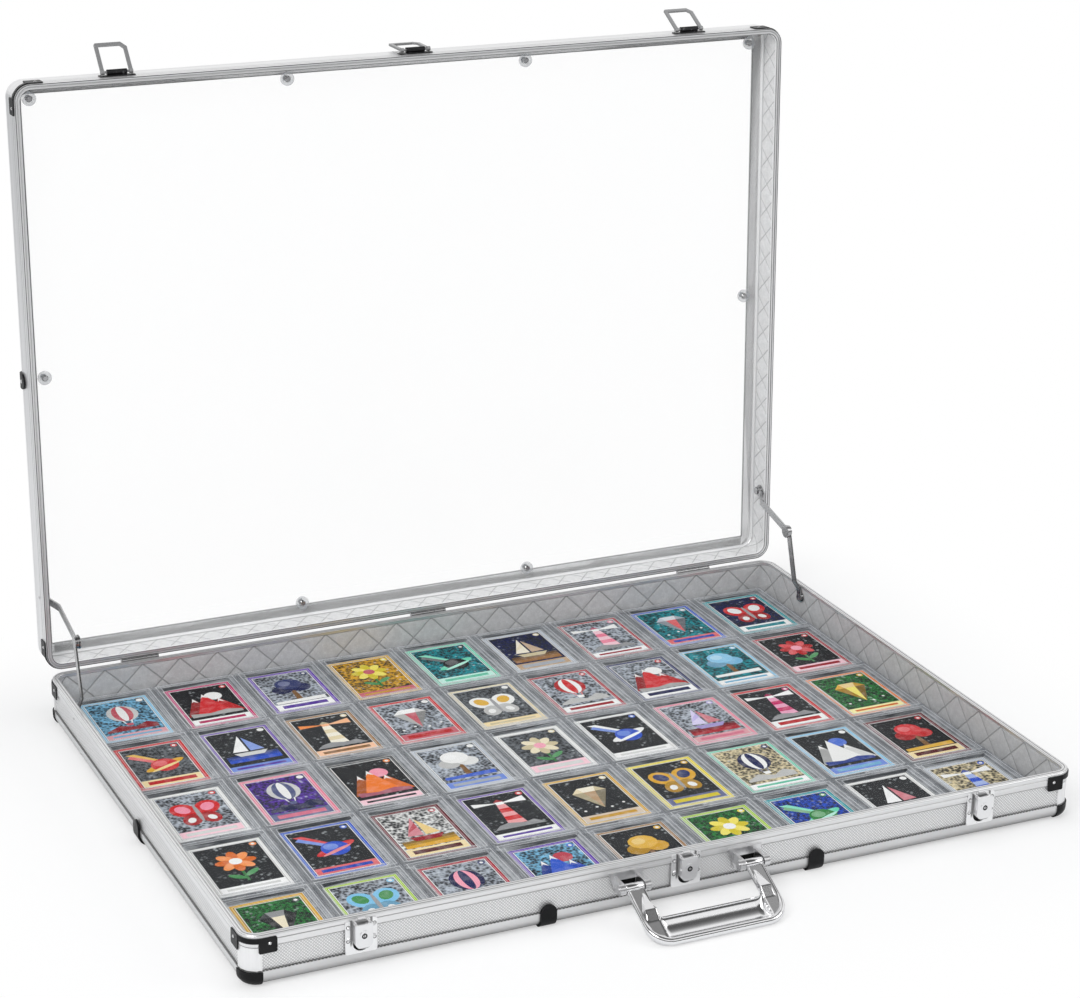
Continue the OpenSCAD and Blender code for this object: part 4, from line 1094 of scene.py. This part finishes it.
def print_card(build, ink_layer, depth_layer, centre, layers):
    """Adds one card to the mesh: a slab of stock and its inks over it."""
    slab = bmesh.ops.create_cube(build, size=1.0)["verts"]
    for vertex in slab:
        vertex.co = Vector((
            centre.x + vertex.co.x * CARD_W,
            centre.y + vertex.co.y * CARD_L,
            centre.z - CARD_T / 2 + vertex.co.z * CARD_T,
        ))
    for face in {face for vertex in slab for face in vertex.link_faces}:
        face.material_index = 1
    for index, (ink, tone, outline, *field) in enumerate(layers, 1):
        z = centre.z + INK_T * index
        colour = linear(shade(INKS[ink], tone))
        verts = [build.verts.new((centre.x + x * MM, centre.y + y * MM, z)) for x, y in outline]
        face = build.faces.new(verts)
        face.normal_update()
        if face.normal.z < 0:
            face.normal_flip()
        for loop in face.loops:
            loop[ink_layer] = (*colour, 1.0)
        for vertex in verts:
            vertex[depth_layer] = float(bool(field))


def printed_cards(name):
    """Mesh of all the cards in the places of the CAD cards."""
    low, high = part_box("cards")
    pitch_x, pitch_y = holder_pitch()
    build = bmesh.new()
    ink_layer = build.loops.layers.float_color.new("ink")
    depth_layer = build.verts.layers.float.new("depth")
    for row in range(CARD_ROWS):
        for col in range(CARD_COLS):
            centre = Vector((
                low.x + CARD_W / 2 + col * pitch_x,
                high.y - CARD_L / 2 - row * pitch_y,
                high.z - CARD_DROP,
            ))
            drawing = DRAWINGS[(col * 4 + row * 7) % len(DRAWINGS)]
            layers = card_layers(PALETTES[row][col], drawing, row * 2 + col)
            print_card(build, ink_layer, depth_layer, centre, layers)
    return finished(build, name)


# Settings that a user may change


def colour_setting(name, description, default):
    """A colour that the user may pick."""
    return FloatVectorProperty(
        name=name, description=description, subtype="COLOR", default=default, min=0, max=1,
    )


class FinishSettings(bpy.types.PropertyGroup):
    """Colours and edge sizes of the case's finishes."""

    aluminium: colour_setting("Aluminium", "Colour of the profiles", (0.84, 0.84, 0.845))
    sheet: colour_setting("Sheet", "Colour of the pimpled wall sheets", (0.84, 0.84, 0.845))
    chrome: colour_setting("Chrome", "Colour of the plated fittings", (0.82, 0.82, 0.83))
    black: colour_setting("Black", "Colour of the corners and feet", (0.006, 0.006, 0.007))
    edge_break: FloatProperty(
        name="Edge break", description="Width of the broken edges on metal", subtype="DISTANCE",
        unit="LENGTH", default=0.25 * MM, min=0, max=1 * MM,
    )


class LiningSettings(bpy.types.PropertyGroup):
    """Colours of the lining, the foam and the holders."""

    base_cloth: colour_setting("Base lining", "Colour of the base's lining", (0.66, 0.66, 0.665))
    lid_cloth: colour_setting("Lid lining", "Colour of the lid's lining", (0.97, 0.97, 0.97))
    foam: colour_setting("Foam", "Colour of the foam under the holders", (0.12, 0.13, 0.15))
    holder: colour_setting("Holder", "Tint of the clear holders", (0.52, 0.55, 0.59))


class StudioSettings(bpy.types.PropertyGroup):
    """Camera and lamps of the studio."""

    lens: FloatProperty(
        name="Lens", description="Focal length for a sensor 36 mm wide", subtype="DISTANCE_CAMERA",
        default=94.88, min=20, max=300,
    )
    key: FloatProperty(
        name="Key lamp", description="Power of the main lamp", subtype="POWER", unit="POWER",
        default=44.0, min=0,
    )
    fill: FloatProperty(
        name="Fill lamp", description="Power of the fill and top lamps", subtype="POWER",
        unit="POWER", default=14.0, min=0,
    )
    sky: FloatProperty(
        name="Room light", description="Strength of the light from all round", default=0.5, min=0,
    )
    wall: FloatProperty(
        name="Dark wall", description="Brightness of the dark wall that metal reflects",
        default=0.1, min=0, max=1,
    )
    shadow: FloatProperty(
        name="Floor shadow", description="Share of the floor's own shading near the case",
        default=0.5, min=0, max=1,
    )


# Operators, one for each piece or group of like pieces


class CASE_OT_profiles(bpy.types.Operator):
    """Finish the aluminium sills, rims, rails and corner posts"""

    bl_idname = "case.profiles"
    bl_label = "Aluminium Profiles"

    def execute(self, context):
        """Gives the extrusions their satin finish."""
        settings = context.scene.case_finish
        colour = tuple(settings.aluminium)
        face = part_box("base_rim_front")[1].z
        rim = satin_aluminium("rim_aluminium", colour, face, [
            (face - at * MM, half * MM, dark) for at, half, dark in RIM_LINES
        ])
        face = closed_box("lid_rail_front")[0].z
        rail = satin_aluminium("rail_aluminium", colour, face, [
            (face + at * MM, half * MM, dark) for at, half, dark in RAIL_LINES
        ], closed=True)
        sill = sill_aluminium(shade(colour, 0.9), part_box("base_sill_front")[1].z)
        posts = post_aluminium(shade(colour, 1.2))
        for part, metal in (("base_rim_", rim), ("lid_rail_", rail), ("base_sill_", sill)):
            finish_nodes([part + side for side in WALLS], metal, settings.edge_break)
        finish_nodes(["base_corner_posts"], posts, settings.edge_break)
        return {"FINISHED"}


class CASE_OT_walls(bpy.types.Operator):
    """Finish the pimpled wall sheets and the floor board"""

    bl_idname = "case.walls"
    bl_label = "Wall Sheets"

    def execute(self, context):
        """Gives the wall panels their rolled pattern."""
        sheet = pimpled_sheet(tuple(context.scene.case_finish.sheet))
        finish_nodes([f"base_panel_{side}" for side in WALLS], sheet)
        finish_nodes(["base_floor"], board((0.1, 0.1, 0.105)))
        return {"FINISHED"}


class CASE_OT_corners(bpy.types.Operator):
    """Finish the black corner pieces, feet and bumpers"""

    bl_idname = "case.corners"
    bl_label = "Corners and Feet"

    def execute(self, context):
        """Gives the moulded pieces their grained black."""
        black = moulded_black(tuple(context.scene.case_finish.black))
        names = [name for name in NODES if name.endswith(("straps", "cups", "feet", "bumpers"))]
        finish_nodes(names, black, 0.3 * MM)
        return {"FINISHED"}


class CASE_OT_fittings(bpy.types.Operator):
    """Finish the handle, latches, bails, hinges, stays and rivets"""

    bl_idname = "case.fittings"
    bl_label = "Fittings"

    def execute(self, context):
        """Gives the plated and steel fittings their polish."""
        plating = tuple(context.scene.case_finish.chrome)
        chrome = bright_metal("handle_chrome", plating, rough=0.1)
        steel = bright_metal("stay_steel", shade(plating, 0.52), rough=0.18, clouds=60.0)
        loops = bright_metal(
            "loop_steel", shade(plating, 0.42), rough=0.3, clouds=60.0, metallic=0.5,
        )
        rivets = bright_metal("rivet_steel", shade(plating, 0.75), rough=0.25, clouds=90.0)
        handle = new_piece("cast_handle", cast_handle("cast_handle"), "handle", chrome)
        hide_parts("handle")
        stays = [name for name in NODES if name.startswith("stay_")]
        locks = [name for name in NODES if name.startswith(("latch_lever", "lock_barrel"))]
        finish_nodes([f"bail_{side}" for side in SIDES], loops, 0.3 * MM)
        finish_nodes(locks, latch_plating(shade(plating, 1.1)), 0.3 * MM)
        finish_nodes(["latch_plates"], latch_plating(shade(plating, 1.4), plate=True), 0.3 * MM)
        finish_nodes(["handle_brackets"], bracket_plating(shade(plating, 0.85)), 0.3 * MM)
        finish_nodes(stays, steel, 0.15 * MM)
        finish_nodes(["base_hinge_leaves", "lid_hinge_leaves", "lid_clip_screws"], steel, 0.15 * MM)
        finish_nodes([f"{part}_rivets" for part in ("base", "lid")], rivets, 0.1 * MM)
        finish_nodes([f"{part}_pins" for part in ("hinge", "latch", "handle")], rivets, 0.1 * MM)
        finish_nodes(["bail_brackets"], dark_metal((0.03, 0.03, 0.032)), 0.2 * MM)
        return {"FINISHED"}


class CASE_OT_lining(bpy.types.Operator):
    """Make the quilted lining of the base and the lid, and the foam sheet"""

    bl_idname = "case.lining"
    bl_label = "Lining and Foam"

    def execute(self, context):
        """Replaces the plain lining rings and pad of the frame."""
        settings = context.scene.case_lining
        # Body, cloth, shade of the stitching, ring, gap and pitch in millimetres, lean
        linings = (
            ("base", settings.base_cloth, 0.22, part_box("base_lining"), 1.4, 36, 1.0),
            ("lid", settings.lid_cloth, 0.3, closed_box("lid_lining"), 1.6, 25, 0.85),
        )
        for body, cloth, line, (low, high), gap, pitch, lean in linings:
            name = f"quilted_{body}_lining"
            mesh = quilted_band(name, low, high, gap * MM, pitch * MM, lean)
            if body == "lid":
                mesh.transform(lid_swing())
            paint = quilted_cloth(f"{body}_cloth", tuple(cloth), shade(cloth, line))
            lining = new_piece(name, mesh, body, paint)
            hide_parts(f"{body}_lining")

        low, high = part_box("base_pad")
        mesh = rounded_slab(
            "foam_sheet", low, high, radius=9.4 * MM, edge=1.2 * MM, dimple=0.15 * MM,
        )
        pad = new_piece("foam_sheet", mesh, "base", foam_sheet(tuple(settings.foam)))
        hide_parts("base_pad")
        return {"FINISHED"}


class CASE_OT_contents(bpy.types.Operator):
    """Make the clear holders, their magnets and the printed cards"""

    bl_idname = "case.contents"
    bl_label = "Cards and Holders"

    def execute(self, context):
        """Dresses the holders and replaces the plain cards."""
        tint = tuple(context.scene.case_lining.holder)
        back = holder_plastic("holder_back", shade(tint, 0.8), border=0.85, middle=0.6)
        cover = holder_plastic("holder_cover", tint, border=0.3, middle=0.015)
        magnet = bright_metal("magnet_nickel", (0.7, 0.7, 0.72), rough=0.25, clouds=90.0)
        finish_nodes(["card_holder_backs"], back)
        finish_nodes(["card_holder_covers"], cover)
        finish_nodes(["holder_magnets"], magnet)
        mesh = printed_cards("printed_cards")
        prints = new_piece("printed_cards", mesh, "base", printed_card(), card_edge())
        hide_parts("cards")
        return {"FINISHED"}


class CASE_OT_window(bpy.types.Operator):
    """Finish the clear window and its clips"""

    bl_idname = "case.window"
    bl_label = "Window and Clips"

    def execute(self, context):
        """Gives the window its clear acrylic."""
        window = clear_sheet("window_acrylic", (0.93, 0.95, 0.96), least=0.03, most=0.55)
        clips = clear_sheet("clip_plastic", (0.6, 0.62, 0.64), least=0.4, most=0.9, rough=0.12)
        finish_nodes(["lid_window"], window)
        finish_nodes(["lid_window_clips"], clips, 0.5 * MM)
        return {"FINISHED"}


class CASE_OT_studio(bpy.types.Operator):
    """Make the floor, lamps, room light and camera"""

    bl_idname = "case.studio"
    bl_label = "Studio"

    def execute(self, context):
        """Sets the stage at the photograph's viewing angle."""
        settings = context.scene.case_studio
        make_floor(settings)
        make_lamps(settings)
        make_room(context.scene, settings)
        make_camera(context.scene, settings)
        context.scene.view_settings.view_transform = "Standard"
        return {"FINISHED"}


# Studio

CAMERA_AT = (-0.9831, -2.0786, 1.0998)
CAMERA_TURN = 25.11
CAMERA_DOWN = 20.2
CAMERA_ROLL = 0.93
LAMP_AIM = Vector((0.0, 0.0, 0.15))
FLOOR_R = 16.0
# How far from the case the floor's own shading fades out
SHADE_REACH = 0.2
WHITE = (1.0, 1.0, 1.0)


def make_camera(scene, settings):
    """Camera fitted to the photograph's edges."""
    data = bpy.data.cameras.new("case_camera")
    data.lens = settings.lens
    data.sensor_fit = "HORIZONTAL"
    data.sensor_width = 36.0
    data.clip_start = 0.05
    data.clip_end = 60.0
    camera = bpy.data.objects.new("case_camera", data)
    scene.collection.objects.link(camera)
    turn = Matrix.Rotation(-math.radians(CAMERA_TURN), 4, "Z")
    tilt = Matrix.Rotation(math.radians(90 - CAMERA_DOWN), 4, "X")
    roll = Matrix.Rotation(math.radians(CAMERA_ROLL), 4, "Z")
    camera.matrix_world = Matrix.Translation(CAMERA_AT) @ turn @ tilt @ roll
    scene.camera = camera


def make_floor(settings):
    """Pale floor that fades into a white background away from the case."""
    build = bmesh.new()
    bmesh.ops.create_circle(build, cap_ends=True, segments=96, radius=FLOOR_R)
    mesh = finished(build, "studio_floor")
    paint = Paint("studio_floor", roughness=0.9)
    paint.set("Base Color", (0.97, 0.97, 0.97))
    x, y, _ = paint.axes()
    beside = (x.size() - case_width() / 2).most(0.0)
    beyond = (y.size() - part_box("base_sill_back")[1].y).most(0.0)
    far = ((beside ** 2.0 + beyond ** 2.0) ** 0.5).ramp(0.0, SHADE_REACH)
    share = (1 - settings.shadow) + far * settings.shadow
    glow = paint.glow("ShaderNodeEmission", WHITE, 1.0)
    own = Signal(paint, paint.shader.outputs[0])
    shown = paint.mixed(paint.ray("Camera", "Transmission") * share, own, glow)
    paint.fill(paint.tree.nodes["Material Output"].inputs["Surface"], shown)
    mesh.materials.append(paint.material)
    floor = bpy.data.objects.new("studio_floor", mesh)
    bpy.context.scene.collection.objects.link(floor)


def make_lamp(name, at, width, height, power):
    """Rectangular soft lamp that faces the case."""
    data = bpy.data.lights.new(name, "AREA")
    data.shape = "RECTANGLE"
    data.size = width
    data.size_y = height
    data.energy = power
    lamp = bpy.data.objects.new(name, data)
    bpy.context.scene.collection.objects.link(lamp)
    lamp.location = at
    lamp.rotation_euler = (LAMP_AIM - Vector(at)).to_track_quat("-Z", "Y").to_euler()
    return lamp


def make_lamps(settings):
    """A large soft key from the left, a fill from the right and a lamp over the back."""
    make_lamp("key_lamp", (-1.9, -1.4, 2.3), 1.6, 1.6, settings.key)
    make_lamp("fill_lamp", (2.2, -1.6, 1.5), 1.2, 1.6, settings.fill)
    make_lamp("top_lamp", (0.2, 0.4, 2.6), 2.2, 1.4, settings.fill).visible_glossy = False


class Room(Paint):
    """The nodes of the world instead of a material's."""

    def __init__(self, world):
        self.tree = world.node_tree

    def background(self, colour, strength):
        """One even background."""
        return self.glow("ShaderNodeBackground", colour, strength)


def make_room(scene, settings):
    """Even room light, and what metal mirrors in it.

    That is a white wall behind the case, a dark one in front of it and a soft box over it.
    """
    world = bpy.data.worlds.new("studio_room")
    scene.world = world
    world.use_nodes = True
    room = Room(world)
    x, y, z = room.axes(room.node("ShaderNodeTexCoord", output="Generated"))
    behind = (y + x * 0.3).ramp(-0.1, 0.4) * (1 - z.ramp(0.8, 0.92) * 0.8)
    soft_box = z.ramp(0.32, 0.4) - z.ramp(0.72, 0.8)
    white = room.background(WHITE, 1.0)
    light = room.background((0.92, 0.94, 0.96), settings.sky)
    wall = room.background(WHITE, settings.wall)
    mirrored = room.mixed(behind.most(soft_box), wall, white)
    shared = room.mixed(room.ray("Glossy"), light, mirrored)
    seen = room.mixed(room.ray("Camera", "Transmission"), shared, white)
    room.fill(room.tree.nodes["World Output"].inputs["Surface"], seen)


class CASE_PT_panel(bpy.types.Panel):
    """Sidebar panel that lists the steps"""

    bl_idname = "CASE_PT_panel"
    bl_label = "Display Case"
    bl_space_type = "VIEW_3D"
    bl_region_type = "UI"
    bl_category = "Display Case"

    def draw(self, context):
        """Draws a button for each step and the settings below."""
        layout = self.layout
        for step in STEPS:
            layout.operator(step.bl_idname)
        scene = context.scene
        for group in (scene.case_finish, scene.case_lining, scene.case_studio):
            box = layout.box()
            for name in group.__annotations__:
                box.prop(group, name)


STEPS = (
    CASE_OT_profiles, CASE_OT_walls, CASE_OT_corners, CASE_OT_fittings, CASE_OT_lining,
    CASE_OT_contents, CASE_OT_window, CASE_OT_studio,
)
CLASSES = (FinishSettings, LiningSettings, StudioSettings, *STEPS, CASE_PT_panel)


def register():
    """Adds the classes and the scene's settings."""
    for each in CLASSES:
        bpy.utils.register_class(each)
    bpy.types.Scene.case_finish = PointerProperty(type=FinishSettings)
    bpy.types.Scene.case_lining = PointerProperty(type=LiningSettings)
    bpy.types.Scene.case_studio = PointerProperty(type=StudioSettings)


def unregister():
    """Removes the settings and the classes."""
    del bpy.types.Scene.case_studio
    del bpy.types.Scene.case_lining
    del bpy.types.Scene.case_finish
    for each in reversed(CLASSES):
        bpy.utils.unregister_class(each)


def main():
    """Runs every step in order."""
    register()
    bpy.ops.case.profiles()
    bpy.ops.case.walls()
    bpy.ops.case.corners()
    bpy.ops.case.fittings()
    bpy.ops.case.lining()
    bpy.ops.case.contents()
    bpy.ops.case.window()
    bpy.ops.case.studio()
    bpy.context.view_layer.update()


if __name__ == "__main__":
    main()
